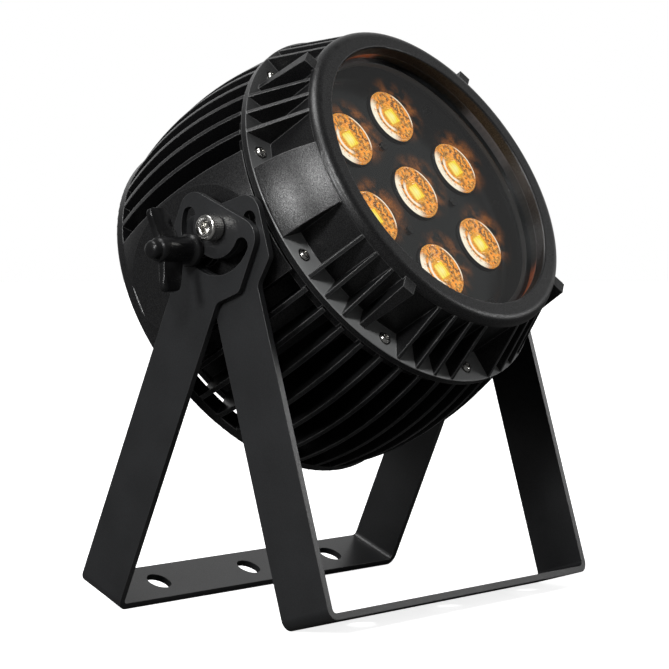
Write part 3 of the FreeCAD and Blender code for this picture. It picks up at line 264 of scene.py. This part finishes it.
def make_plate():
    """Gloss black plate with a painted amber glow beside each lens, a painted reflection of the
    lamps' light.
    """
    spill_across, spill_up = 9.5 * MM, 5.5 * MM
    spill_inside, spill_outside = 9.0 * MM, 22.0 * MM
    shader = Shader("gloss_plate", roughness=0.16)
    marks = shader.noise(HANDLING_MARKS, 5)
    tone = shader.blend(marks, (0.009, 0.009, 0.009), (0.016, 0.015, 0.014))
    shader.set(shader.base, "Base Color", tone)
    x, y = shader.along(HEAD_ACROSS), shader.along(HEAD_UP)
    flat = shader.node("CombineXYZ", X=x, Y=y).outputs[0]
    # Painted glow: a fixed amber pattern beside each lens, broken into speckles, not light from
    # the lamps.
    painted_glow = 0.0
    for lens_x, lens_y in lens_places():
        gap = shader.vector("DISTANCE", flat, (lens_x + spill_across, lens_y + spill_up, 0.0))
        near = shader.ramp(gap, spill_outside, spill_inside, smooth=True)
        painted_glow = shader.math("MAXIMUM", near, painted_glow)
    broken = shader.math("MULTIPLY", painted_glow, shader.ramp(shader.noise(TARNISH, 4), 0.4, 0.66))
    grain = shader.ramp(shader.noise(SPECKS, 2), 0.3, 0.7, 0.35, 1.0)
    glow_speckles = shader.math("MULTIPLY", broken, grain)
    shader.set(shader.base, "Emission Color", (1.0, 0.3, 0.04))
    shader.set(shader.base, "Emission Strength", shader.math("MULTIPLY", glow_speckles, 0.45))
    return shader.material


def make_window_seal():
    """Black silicone with painted light along three arcs of its thin inner edge: two amber painted
    reflections of the lamps and one pale painted highlight.
    """
    amber, pale = (1.0, 0.2, 0.04), (0.9, 0.8, 0.8)
    # Each painted arc's middle and half width in degrees, its colour and its strength.
    arcs = ((102, 17, amber, 0.13), (-54, 19, amber, 0.13), (23, 20, pale, 0.05))
    shader = Shader("window_seal", (0.012, 0.012, 0.012), 0.5)
    angle = shader.math("ARCTAN2", shader.along(HEAD_UP), shader.along(HEAD_ACROSS))
    colour, strength = (0.0, 0.0, 0.0), 0.0
    for middle, half, tint, power in arcs:
        off = shader.math("ABSOLUTE", shader.math("SUBTRACT", angle, radians(middle)))
        on = shader.ramp(off, radians(half), radians(half * 0.5), smooth=True)
        colour = shader.blend(on, colour, tint)
        strength = shader.math("MAXIMUM", shader.math("MULTIPLY", on, power), strength)
    shader.set(shader.base, "Emission Color", colour)
    shader.set(shader.base, "Emission Strength", strength)
    return shader.material


# ---------------------------------------------------------------- materials

# The rear coat is a darker, glossier copy of the front coat; its darker colour paints shade on the
# rear housing.
housing = powder(
    "housing_powder_coat",
    colour=(0.004, 0.004, 0.0043),
    edge_wear_and_highlight_colour=(0.15, 0.15, 0.15),
    roughness=0.34,
    grain=1300,
    height=0.04 * MM,
    bevel=0.7 * MM,
    wear_and_highlight=1.0,
    dullest=0.3,
)
front_coat = powder(
    "front_powder_coat",
    colour=(0.005, 0.005, 0.0053),
    edge_wear_and_highlight_colour=(0.16, 0.16, 0.16),
    roughness=0.35,
    grain=1400,
    height=0.09 * MM,
    bevel=0.7 * MM,
    wear_and_highlight=1.0,
    dullest=0.3,
    # Painted light on the lower flange face.
    flange=(0.3, 0.305, 0.305),
)
yoke_coat = powder(
    "yoke_powder_coat",
    colour=(0.010, 0.0104, 0.0112),
    edge_wear_and_highlight_colour=(0.11, 0.11, 0.11),
    roughness=0.36,
    grain=1900,
    height=0.03 * MM,
    bevel=0.4 * MM,
    wear_and_highlight=0.7,
    dullest=0.6,
)
screw_steel = metal("bright_screws", (0.72, 0.71, 0.68), 0.2, 0.1 * MM)
nylon = moulded("black_nylon", (0.014, 0.014, 0.015), 0.45, 800)
knob_plastic = moulded(
    "knob_plastic", (0.006, 0.006, 0.0063), 0.26, 700, 0.02 * MM, 0.8 * MM, Specular_IOR_Level=0.25
)

# Each material and the CAD nodes that wear it. Replaced nodes aren't here.
COATS = [
    (housing, ["rear_housing", "rear_cover"]),
    (front_coat, ["front_housing"]),
    (yoke_coat, ["outer_yoke", "inner_yoke"]),
    (
        metal("stainless_steel", (0.62, 0.61, 0.59), 0.28),
        [
            "retaining_ring_screws",
            "power_supply_screws",
            "driver_board_screws",
            "rear_cover_screws",
            "safety_eye",
            "safety_eye_nut",
            "knob_studs",
        ],
    ),
    (metal("black_screws", (0.08, 0.08, 0.08), 0.3), ["cover_plate_screws"]),
    (metal("turned_brass", (0.72, 0.52, 0.22), 0.3), ["knob_left_insert", "knob_right_insert"]),
    (
        metal("plain_aluminium", (0.75, 0.75, 0.76), 0.35),
        ["cover_plate_posts", "driver_board_posts", "control_board_posts", "power_supply"],
    ),
    (
        moulded("black_silicone", (0.012, 0.012, 0.012), 0.6, 700),
        ["housing_gasket", "rear_cover_gasket", "key_seals", "socket_seals", "harness_grommet"],
    ),
    (moulded("cap_rubber", (0.016, 0.016, 0.017), 0.65, 500, 0.05 * MM), ["socket_caps"]),
    (
        nylon,
        [
            "power_inlet",
            "power_outlet",
            "data_inlet",
            "data_outlet",
            "socket_nuts",
            "socket_inserts",
            "pressure_vent",
            "pivot_washers",
            "lens_holders",
            "glass_retaining_ring",
        ],
    ),
    (
        moulded("key_plastic", (0.05, 0.05, 0.052), 0.55, 900),
        ["menu_key", "down_key", "up_key", "enter_key"],
    ),
    (
        moulded("solder_mask", (0.01, 0.09, 0.03), 0.35, 500),
        ["driver_board", "control_board"],
    ),
    (moulded("lead_insulation", (0.35, 0.02, 0.015), 0.45, 600), ["led_harness"]),
    (moulded("wound_ferrite", (0.05, 0.04, 0.035), 0.5, 300, 0.1 * MM), ["driver_coils"]),
    (moulded("capacitor_sleeve", (0.015, 0.018, 0.04), 0.3, 500), ["driver_capacitors"]),
    (moulded("lamp_board_mask", (0.02, 0.02, 0.022), 0.3, 600), ["led_board"]),
    (moulded("heat_pad", (0.25, 0.26, 0.28), 0.7, 400, 0.08 * MM), ["heat_transfer_pad"]),
    (
        moulded("display_face", (0.012, 0.03, 0.05), 0.12, 900, 0.005 * MM),
        ["display_module"],
    ),
    (make_clear("smoked_pane", (0.35, 0.35, 0.37), 0.03, 0.05), ["display_window"]),
    (make_clear("front_glass", (0.93, 0.95, 0.95), 0.01, 0.03), ["front_glass"]),
    (make_emitter_light(), ["led_emitters"]),
    (make_plate(), ["led_cover_plate"]),
    (make_window_seal(), ["glass_gasket"]),
]


def coat_nodes():
    for material, names in COATS:
        for name in names:
            mesh = frame["nodes"][name].data
            mesh.materials.clear()
            mesh.materials.append(material)


def add_object(name, mesh, material, body):
    """Puts a finished mesh in the scene as a piece that rides on a body."""
    piece = bpy.data.objects.new(name, mesh)
    bpy.context.scene.collection.objects.link(piece)
    mesh.materials.append(material)
    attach(piece, body)
    return piece


# ---------------------------------------------------------------- lenses

PEBBLE = 1.5 * MM
PEBBLE_HEIGHT = 0.22 * MM
PEBBLE_ROW = PEBBLE * cos(pi / 6)
PEBBLED_FROM, PEBBLED_TO = 0.405, 0.91
# A lens's section from its foot inwards: share of its radius, and level in mm from its front.
LENS_RIM = [(1.0, -2.4), (1.0, -0.5), (0.985, -0.15), (0.965, 0.0), (0.935, 0.0), (0.915, -0.25)]
DISH_FOOT = (0.4, -1.1)
CHIP_WINDOW = [(0.375, -0.75), (0.345, -0.75), (0.325, -1.0)]
CHIP_WINDOW_RISE = 0.5


def pebble_at(x, y):
    """Height of the six-sided pebbles at a point, from 0 to 1, and a number for the pebble."""
    row_of_point = round(y / PEBBLE_ROW)
    nearest = (10.0, 0, 0)
    for row in (row_of_point - 1, row_of_point, row_of_point + 1):
        shift = 0.5 * PEBBLE if row % 2 else 0.0
        column = round((x - shift) / PEBBLE)
        gap = (x - column * PEBBLE - shift) ** 2 + (y - row * PEBBLE_ROW) ** 2
        nearest = min(nearest, (gap, row, column))
    gap, row, column = nearest
    # The usual sine hash: it scatters equal steps evenly over 0 to 1.
    scattered = sin(row * 12.9898 + column * 78.233) * 43758.5453
    return max(0.0, 1 - gap / (0.33 * PEBBLE**2)), scattered % 1.0


def lens_section():
    """The rim, the dish in small steps, and the domed window over the chip."""
    dish_steps, dome_steps = 34, 8
    (rim_part, rim_level), (foot_part, foot_level) = LENS_RIM[-1], DISH_FOOT
    section = list(LENS_RIM)
    for step in range(1, dish_steps + 1):
        share = step / dish_steps
        part = rim_part + (foot_part - rim_part) * share
        section.append((part, rim_level + (foot_level - rim_level) * share))
    section += CHIP_WINDOW
    edge_part, edge_level = CHIP_WINDOW[-1]
    for step in range(1, dome_steps):
        share = step / dome_steps
        level = edge_level + CHIP_WINDOW_RISE * sin(pi / 2 * share)
        section.append((edge_part * (1 - share), level))
    return section


def make_lenses():
    """Seven clear lenses: a smooth rim, a pebbled dish and a small window over the chip."""
    around = 144
    section = lens_section()
    top = LENS_FRONT + (CHIP_WINDOW[-1][1] + CHIP_WINDOW_RISE) * MM
    points, faces, spots, glints = [], [], [], []
    for centre_x, centre_y in lens_places():
        first = len(points)
        centre = Matrix.Translation((centre_x, centre_y, 0))
        lens = HEAD @ centre @ Matrix.Rotation(LENS_TURN, 4, "Z")
        for part, level in section:
            for k in range(around):
                angle = 2 * pi * k / around
                x, y = part * LENS_RADIUS * cos(angle), part * LENS_RADIUS * sin(angle)
                rise, glint = pebble_at(x, y)
                pebbled = PEBBLED_FROM < part < PEBBLED_TO
                height = LENS_FRONT + level * MM + (PEBBLE_HEIGHT * rise if pebbled else 0.0)
                points.append(lens @ Vector((x, y, height)))
                spots.append((x / LENS_RADIUS, y / LENS_RADIUS, rise))
                glints.append(glint if pebbled else 0.5)
        points.append(lens @ Vector((0.0, 0.0, top)))
        spots.append((0.0, 0.0, 0.0))
        glints.append(0.5)
        for ring in range(len(section) - 1):
            for k in range(around):
                a = first + ring * around + k
                b = first + ring * around + (k + 1) % around
                faces.append((a, b, b + around, a + around))
        last = first + (len(section) - 1) * around
        for k in range(around):
            faces.append((last + k, last + (k + 1) % around, len(points) - 1))
    mesh = bpy.data.meshes.new("lens_fronts")
    mesh.from_pydata(points, [], faces)
    mesh.polygons.foreach_set("use_smooth", [True] * len(faces))
    spot = mesh.attributes.new("lens_spot", "FLOAT_VECTOR", "POINT")
    spot.data.foreach_set("vector", [value for point in spots for value in point])
    shade = mesh.attributes.new("lens_glint", "FLOAT", "POINT")
    shade.data.foreach_set("value", glints)
    piece = add_object("lens_fronts", mesh, make_lens_glow(), "head")
    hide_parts("lenses")


def make_lens_glow():
    """Amber light in a pebbled lens: glints, painted highlight crescents and the square chip.

    Lengths are shares of the lens's radius."""
    chip_half, chip_soft = 0.27, 0.02
    # The chip's lines: radians of a sine wave to one lens radius.
    chip_line_rate = 44.0
    shader = Shader("lit_lens", (0.1, 0.03, 0.004), 0.12)
    where = shader.attribute("lens_spot", "Vector")
    glint = shader.attribute("lens_glint", "Fac")
    split = shader.node("SeparateXYZ", Vector=where).outputs
    x, y = split[0], split[1]
    flat = shader.node("CombineXYZ", X=x, Y=y).outputs[0]
    reach = shader.vector("LENGTH", flat)

    def both(a, b):
        return shader.math("MULTIPLY", a, b)

    def band(low, high, soft=0.04):
        up = shader.ramp(reach, low - soft, low + soft, smooth=True)
        down = shader.ramp(reach, high - soft, high + soft, 1.0, 0.0, smooth=True)
        return both(up, down)

    def in_chip(value):
        off = shader.math("ABSOLUTE", value)
        return shader.ramp(off, chip_half - chip_soft, chip_half + chip_soft, 1.0, 0.0)

    # Dark and bright pebbles, then two sizes of paler patches.
    mixed = shader.math("ADD", both(glint, 0.45), both(shader.noise(9, 4, where), 0.55))
    colour = shader.blend(shader.ramp(mixed, 0.4, 0.6), (0.1, 0.016, 0.0), (0.98, 0.29, 0.012))
    patch = shader.ramp(shader.noise(3.2, 2, where), 0.5, 0.72, 0, 0.7)
    colour = shader.blend(patch, colour, (1.0, 0.46, 0.05))
    sparks = shader.ramp(shader.noise(16, 3, where), 0.56, 0.64, 0, 0.9)
    colour = shader.blend(sparks, colour, (1.0, 0.74, 0.3))

    # Painted highlights: white crescents at one side, and a white rim at both.
    across = shader.math("DIVIDE", x, shader.math("ADD", reach, 0.001))
    near = shader.ramp(across, -0.35, -0.8, smooth=True)
    far = shader.ramp(across, 0.62, 0.9, smooth=True)
    broken = shader.ramp(shader.noise(7, 3, where), 0.36, 0.48)
    inner = both(band(0.5, 0.64), near)
    outer = both(both(band(0.78, 0.97), near), broken)
    rim = both(band(0.925, 1.1, 0.015), shader.math("MAXIMUM", near, far))
    white = shader.math("MAXIMUM", shader.math("MAXIMUM", inner, outer), rim)
    colour = shader.blend(white, colour, (1.0, 0.9, 0.72))

    # The square chip with its fine lines and hot middle, in a soft halo.
    wave = shader.math("SINE", both(x, chip_line_rate))
    lines = shader.ramp(wave, 0.55, 0.9, 1.0, 0.35)
    chip = shader.blend(lines, (0.8, 0.26, 0.003), (1.0, 0.8, 0.05))
    core = shader.ramp(shader.math("ADD", reach, both(x, 0.35)), 0.02, 0.3, 1.0, 0.0)
    chip = shader.blend(both(core, 0.8), chip, (1.0, 0.95, 0.4))
    halo = shader.ramp(reach, 0.25, 0.55, 1.0, 0.0, smooth=True)
    colour = shader.blend(both(halo, 0.5), colour, (1.0, 0.5, 0.01))
    colour = shader.blend(both(in_chip(x), in_chip(y)), colour, chip)
    shader.set(shader.base, "Emission Color", colour)
    shader.set(shader.base, "Emission Strength", 1.15)
    return shader.material


# ---------------------------------------------------------------- screws, knobs and switches

FLANGE_SCREWS = 10
FLANGE_SCREW_CIRCLE = 95.7 * MM
FLANGE_SCREW_SEAT = 24.9 * MM
FLANGE_SCREW_END = 14.6 * MM
PIVOT_SCREW_SEAT = 116.1 * MM
KNOB_FOOT = 116.2 * MM
STUD_REACH = 19.5 * MM
STUD_ANGLE = radians(185)
KNOB_TURN = radians(13)
# The keys' stroke of 1 mm, and a hair more.
KEY_ROOM = 1.05 * MM


class Builder:
    """Collects rings of points and joins them into one smooth mesh."""

    def __init__(self):
        self.points, self.faces = [], []

    def rings(self, rings):
        """Joins equal rings one after another and closes the last one with a flat face."""
        first, count = len(self.points), len(rings[0])
        for ring in rings:
            self.points.extend(ring)
        for step in range(len(rings) - 1):
            for k in range(count):
                a = first + step * count + k
                b = first + step * count + (k + 1) % count
                self.faces.append((a, b, b + count, a + count))
        last = first + (len(rings) - 1) * count
        self.faces.append(tuple(range(last, last + count)))

    def close_first(self, rings):
        """Closes the first of the rings that were joined last."""
        count = len(rings[0])
        first = len(self.points) - len(rings) * count
        self.faces.append(tuple(range(first, first + count))[::-1])

    def mesh(self, name, sharp=40):
        """The mesh, with edges left sharp where the faces turn by more than sharp degrees."""
        mesh = bpy.data.meshes.new(name)
        mesh.from_pydata(self.points, [], self.faces)
        shape = bmesh.new()
        shape.from_mesh(mesh)
        bmesh.ops.recalc_face_normals(shape, faces=shape.faces)
        for face in shape.faces:
            face.smooth = True
        for edge in shape.edges:
            edge.smooth = edge.calc_face_angle(0.0) < radians(sharp)
        shape.to_mesh(mesh)
        shape.free()
        return mesh


def round_ring(place, radius, level, count, wobble=0.0, ridges=1):
    """A ring of points about z, with ridges on it if there is any wobble."""
    ring = []
    for k in range(count):
        angle = 2 * pi * k / count
        reach = radius - wobble * (0.5 - 0.5 * cos(angle * ridges))
        ring.append(place @ Vector((reach * cos(angle), reach * sin(angle), level)))
    return ring


def hex_ring(place, flat, level, count):
    """The same number of points, laid along a hexagon with the given half width."""
    ring = []
    for k in range(count):
        angle = 2 * pi * k / count
        reach = flat / cos((angle + pi / 6) % (pi / 3) - pi / 6)
        ring.append(place @ Vector((reach * cos(angle), reach * sin(angle), level)))
    return ring


def add_screw(builder, place, shank, shank_end, head, socket, count):
    """A screw with a rounded head: head is a list of (radius, level, wobble) rings."""
    flat, depth = socket
    top = head[-1][1]
    bottom = top - depth
    chamfer, chamfer_depth, point_depth = 0.15 * MM, 0.2 * MM, 0.3 * MM
    rings = [
        round_ring(place, shank, shank_end, count),
        round_ring(place, shank, head[0][1], count),
    ]
    for radius, level, wobble in head:
        rings.append(round_ring(place, radius, level, count, wobble, count // 4))
    rings += [
        hex_ring(place, flat + chamfer, top, count),
        hex_ring(place, flat, top - chamfer_depth, count),
        hex_ring(place, flat * 0.98, bottom, count),
        round_ring(place, flat * 0.4, bottom - point_depth, count),
    ]
    rings.reverse()
    builder.rings(rings)
    builder.close_first(rings)


def make_flange_screws():
    """Button-head screws round the flange, their sockets left at different turns."""
    radius, height, edge = 2.9 * MM, 2.3 * MM, 0.5 * MM
    crown, dome_steps = 0.48, 7
    pitch, spin_step = 360 / FLANGE_SCREWS, 47
    builder = Builder()
    seat = FLANGE_SCREW_SEAT
    head = [(radius, seat, 0.0), (radius, seat + edge, 0.0)]
    for step in range(1, dome_steps):
        angle = pi / 2 * step / dome_steps
        reach = radius * (crown + (1 - crown) * cos(angle))
        head.append((reach, seat + edge + (height - edge) * sin(angle), 0.0))
    for k in range(FLANGE_SCREWS):
        turn = Matrix.Rotation(radians(pitch * (k + 0.5)), 4, "Z")
        spin = Matrix.Rotation(radians(spin_step * k), 4, "Z")
        place = HEAD @ turn @ Matrix.Translation((FLANGE_SCREW_CIRCLE, 0, 0)) @ spin
        add_screw(builder, place, 1.95 * MM, FLANGE_SCREW_END, head, (1.15 * MM, 1.1 * MM), 24)
    mesh = builder.mesh("button_head_screws")
    piece = add_object("button_head_screws", mesh, screw_steel, "head")
    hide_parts("flange_screws")


def make_pivot_screws():
    """The two cap screws on the tilt axis, with knurled heads."""
    radius = 6.6 * MM
    knurl = 0.28 * MM
    head = [
        (radius - 0.7 * MM, 0.0, 0.0),
        (radius - 0.2 * MM, 0.5 * MM, 0.0),
        (radius, 1.1 * MM, knurl),
        (radius, 6.6 * MM, knurl),
        (radius - 0.15 * MM, 7.2 * MM, 0.0),
        (radius - 0.5 * MM, 7.75 * MM, 0.0),
        (radius - 1.1 * MM, 8.0 * MM, 0.0),
        (radius - 2.6 * MM, 7.9 * MM, 0.0),
    ]
    builder = Builder()
    for side in (1, -1):
        outward = Matrix.Rotation(side * pi / 2, 4, "Y")
        place = HEAD @ Matrix.Translation((side * PIVOT_SCREW_SEAT, 0, 0)) @ outward
        add_screw(builder, place, 4.0 * MM, -28.2 * MM, head, (3.0 * MM, 4.2 * MM), 144)
    mesh = builder.mesh("cap_screws", 55)
    piece = add_object("cap_screws", mesh, screw_steel, "head")
    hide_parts("pivot_screws")


# The hub's (radius, height) and a wing's (height, reach), in mm.
KNOB_HUB = [
    (4.1, 0.2), (7.9, 0.0), (8.5, 0.4), (8.6, 1.0), (8.6, 2.6), (8.2, 3.4), (7.2, 4.1), (6.7, 5.5),
    (6.5, 9.0), (6.6, 16.0), (6.6, 22.6), (6.3, 24.2), (5.6, 25.2), (5.0, 25.5), (4.9, 26.2),
    (4.7, 28.2), (4.1, 29.3), (3.0, 29.8), (1.5, 30.0),
]
KNOB_WING = [
    (8.6, 0.0), (9.2, 5.0), (10.4, 9.5), (12.4, 15.0), (14.0, 19.3), (15.2, 20.9), (17.0, 21.5),
    (23.4, 21.5), (25.4, 21.0), (26.3, 19.5), (25.8, 16.0), (24.6, 11.0), (23.6, 7.0), (23.0, 0.0),
]
WING_REACH = 21.5
WING_MIDDLE = 18.2
# Layers through a wing: share of its half thickness, and how far its edge is drawn in.
WING_LAYERS = ((-1, 0.715), (-0.75, 0.22), (0.75, 0.22), (1, 0.715))


def wing_layer(part, drawn_in, way):
    """One layer of a wing as (height, reach, thickness) points in mm; way is 1 up, -1 down."""
    half_root, thinning, bend = 2.3, 0.5, 0.9
    softer_side, softer_tip = 0.12, 1.2
    layer = []
    for height, reach in KNOB_WING:
        share = reach / WING_REACH
        height += (WING_MIDDLE - height) * drawn_in * softer_side
        thick = (half_root - thinning * share) * part + bend * share**2 * way
        if reach > 1:
            reach = max(0.0, reach - drawn_in * softer_tip)
        layer.append((height, reach * way, thick))
    return layer


def make_knob(body, side):
    """A wing knob: a waisted hub with a stepped boss, and two flared wings with soft edges."""
    stud = (0, STUD_REACH * sin(STUD_ANGLE), STUD_REACH * cos(STUD_ANGLE))
    knob = HEAD @ Matrix.Translation(stud) @ Matrix.Rotation(KNOB_TURN, 4, "X")
    outward = Matrix.Rotation(side * pi / 2, 4, "Y")
    hub = knob @ Matrix.Translation((side * KNOB_FOOT, 0, 0)) @ outward
    builder = Builder()
    builder.rings([round_ring(hub, radius * MM, height * MM, 64) for radius, height in KNOB_HUB])
    for way in (1, -1):
        loops = []
        for part, drawn_in in WING_LAYERS:
            layer = []
            for height, reach, thick in wing_layer(part, drawn_in, way):
                out = side * (KNOB_FOOT + height * MM)
                layer.append(knob @ Vector((out, reach * MM, thick * MM)))
            loops.append(layer)
        builder.rings(loops)
        builder.close_first(loops)
    mesh = builder.mesh(f"{body}_wings", 50)
    piece = add_object(f"{body}_wings", mesh, knob_plastic, body)
    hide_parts(body)


def make_key_switches():
    """Copies the key switches with their stems cut back, so that a pressed key has room."""
    source = frame["nodes"]["key_switches"]
    mesh = source.data.copy()
    mesh.transform(source.matrix_world)
    levels = [vertex.co.dot(BEAM) for vertex in mesh.vertices]
    stem_ends = min(levels) + 0.1 * MM
    for vertex, level in zip(mesh.vertices, levels):
        if level < stem_ends:
            vertex.co += BEAM * KEY_ROOM
    mesh.materials.clear()
    piece = add_object("tact_switches", mesh, nylon, "head")
    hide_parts("key_switches")


coat_nodes()
make_lenses()
make_flange_screws()
make_pivot_screws()
make_key_switches()
make_knob("knob_left", -1)
make_knob("knob_right", 1)


# ---------------------------------------------------------------- stage, lights and camera

LIGHT_TARGET = Vector((0, 0, 0.16))
FLOOR_HALF = 40.0
# The camera fitted to the photograph: its place, then its turn, downward tip and roll in degrees.
CAMERA_PLACE = (-0.87771, -0.71543 + PIVOT.y, 0.17454)
CAMERA_TURN, CAMERA_TIP, CAMERA_ROLL = -50.0359, 1.608, -0.117
CAMERA_SENSOR = 36.0
CAMERA_LENS = 112.77202


def make_floor():
    """A plain pale floor that throws only a little light back up."""
    mesh = bpy.data.meshes.new("floor")
    half = FLOOR_HALF
    corners = [(-half, -half, 0), (half, -half, 0), (half, half, 0), (-half, half, 0)]
    mesh.from_pydata(corners, [], [(0, 1, 2, 3)])
    floor = bpy.data.objects.new("floor", mesh)
    bpy.context.scene.collection.objects.link(floor)
    shader = Shader(
        "floor_paint", (0.93, 0.93, 0.93), 0.8, Emission_Color=(1, 1, 1), Emission_Strength=0.85
    )
    seen = shader.node("LightPath").outputs["Is Camera Ray"]
    dim = shader.node("BsdfDiffuse", Color=(0.1, 0.1, 0.1))
    shader.mix_into_output(seen, dim, shader.base)
    mesh.materials.append(shader.material)


def add_lamp(name, kind, azimuth, elevation, **settings):
    """A lamp turned to shine from the angles, and the direction back to it."""
    data = bpy.data.lights.new(name, kind)
    for key, value in settings.items():
        setattr(data, key, value)
    lamp = bpy.data.objects.new(name, data)
    a, e = radians(azimuth), radians(elevation)
    lamp.rotation_euler = (pi / 2 - e, 0, a)
    bpy.context.scene.collection.objects.link(lamp)
    return lamp, Vector((sin(a) * cos(e), -cos(a) * cos(e), sin(e)))


def make_light(name, azimuth, elevation, distance, width, power):
    """A soft square lamp, placed by angles round the target and turned to face it."""
    lamp, back = add_lamp(name, "AREA", azimuth, elevation, size=width, energy=power)
    lamp.location = LIGHT_TARGET + back * distance


def make_camera():
    data = bpy.data.cameras.new("camera")
    data.sensor_width = CAMERA_SENSOR
    data.lens = CAMERA_LENS
    data.clip_end = 100
    camera = bpy.data.objects.new("camera", data)
    turn = Matrix.Rotation(radians(CAMERA_TURN), 4, "Z")
    tip = Matrix.Rotation(pi / 2 - radians(CAMERA_TIP), 4, "X")
    roll = Matrix.Rotation(radians(CAMERA_ROLL), 4, "Z")
    camera.matrix_world = Matrix.Translation(CAMERA_PLACE) @ turn @ tip @ roll
    bpy.context.scene.collection.objects.link(camera)
    bpy.context.scene.camera = camera


def make_world():
    """A dim studio with a bright backdrop behind the object and a soft patch before it."""
    backdrop_way, front_way = (0.76, 0.64, 0.1), (0.766, -0.364, 0.53)
    dimmest, backdrop, front_patch = 0.1, 0.9, 0.16
    world = bpy.data.worlds.new("studio")
    world.use_nodes = True
    tree = world.node_tree
    tree.nodes.clear()

    def node(kind, **inputs):
        made = tree.nodes.new("ShaderNode" + kind)
        for name, value in inputs.items():
            socket = made.inputs[int(name[1:]) if name[1:].isdigit() else name.replace("_", " ")]
            if isinstance(value, bpy.types.NodeSocket):
                tree.links.new(value, socket)
            else:
                socket.default_value = value
        return made

    def patch(towards, edge, middle, low, high):
        """Light that grows from low at the patch's edge to high in its middle."""
        across = node("VectorMath", i0=node("TexCoord").outputs["Generated"], i1=towards)
        across.operation = "DOT_PRODUCT"
        level = node("MapRange", Value=across.outputs["Value"], From_Min=edge, From_Max=middle)
        level.inputs["To Min"].default_value = low
        level.inputs["To Max"].default_value = high
        return level.outputs["Result"]

    behind = patch(backdrop_way, 0.55, 0.95, dimmest, backdrop)
    before = patch(front_way, 0.8, 0.97, 0.0, front_patch)
    strength = node("Math", i0=behind, i1=before).outputs[0]
    room = node("Background", Color=(1, 1, 1, 1), Strength=strength)
    white = node("Background", Color=(1, 1, 1, 1), Strength=1.0)
    seen = node("LightPath").outputs["Is Camera Ray"]
    mixed = node("MixShader", i0=seen, i1=room.outputs[0], i2=white.outputs[0])
    node("OutputWorld", Surface=mixed.outputs[0])
    bpy.context.scene.world = world
    bpy.context.scene.view_settings.view_transform = "Standard"


make_floor()
make_world()
# The broad light from above keeps the floor pale.
add_lamp("sun", "SUN", -115, 68, energy=1.6, angle=radians(30))
make_light("left_box", -92, 16, 1.3, 0.2, 7)
make_light("camera_side_box", -64, 34, 1.6, 0.3, 12)
make_light("front_box", 52, 15, 2.6, 0.5, 7)
make_camera()
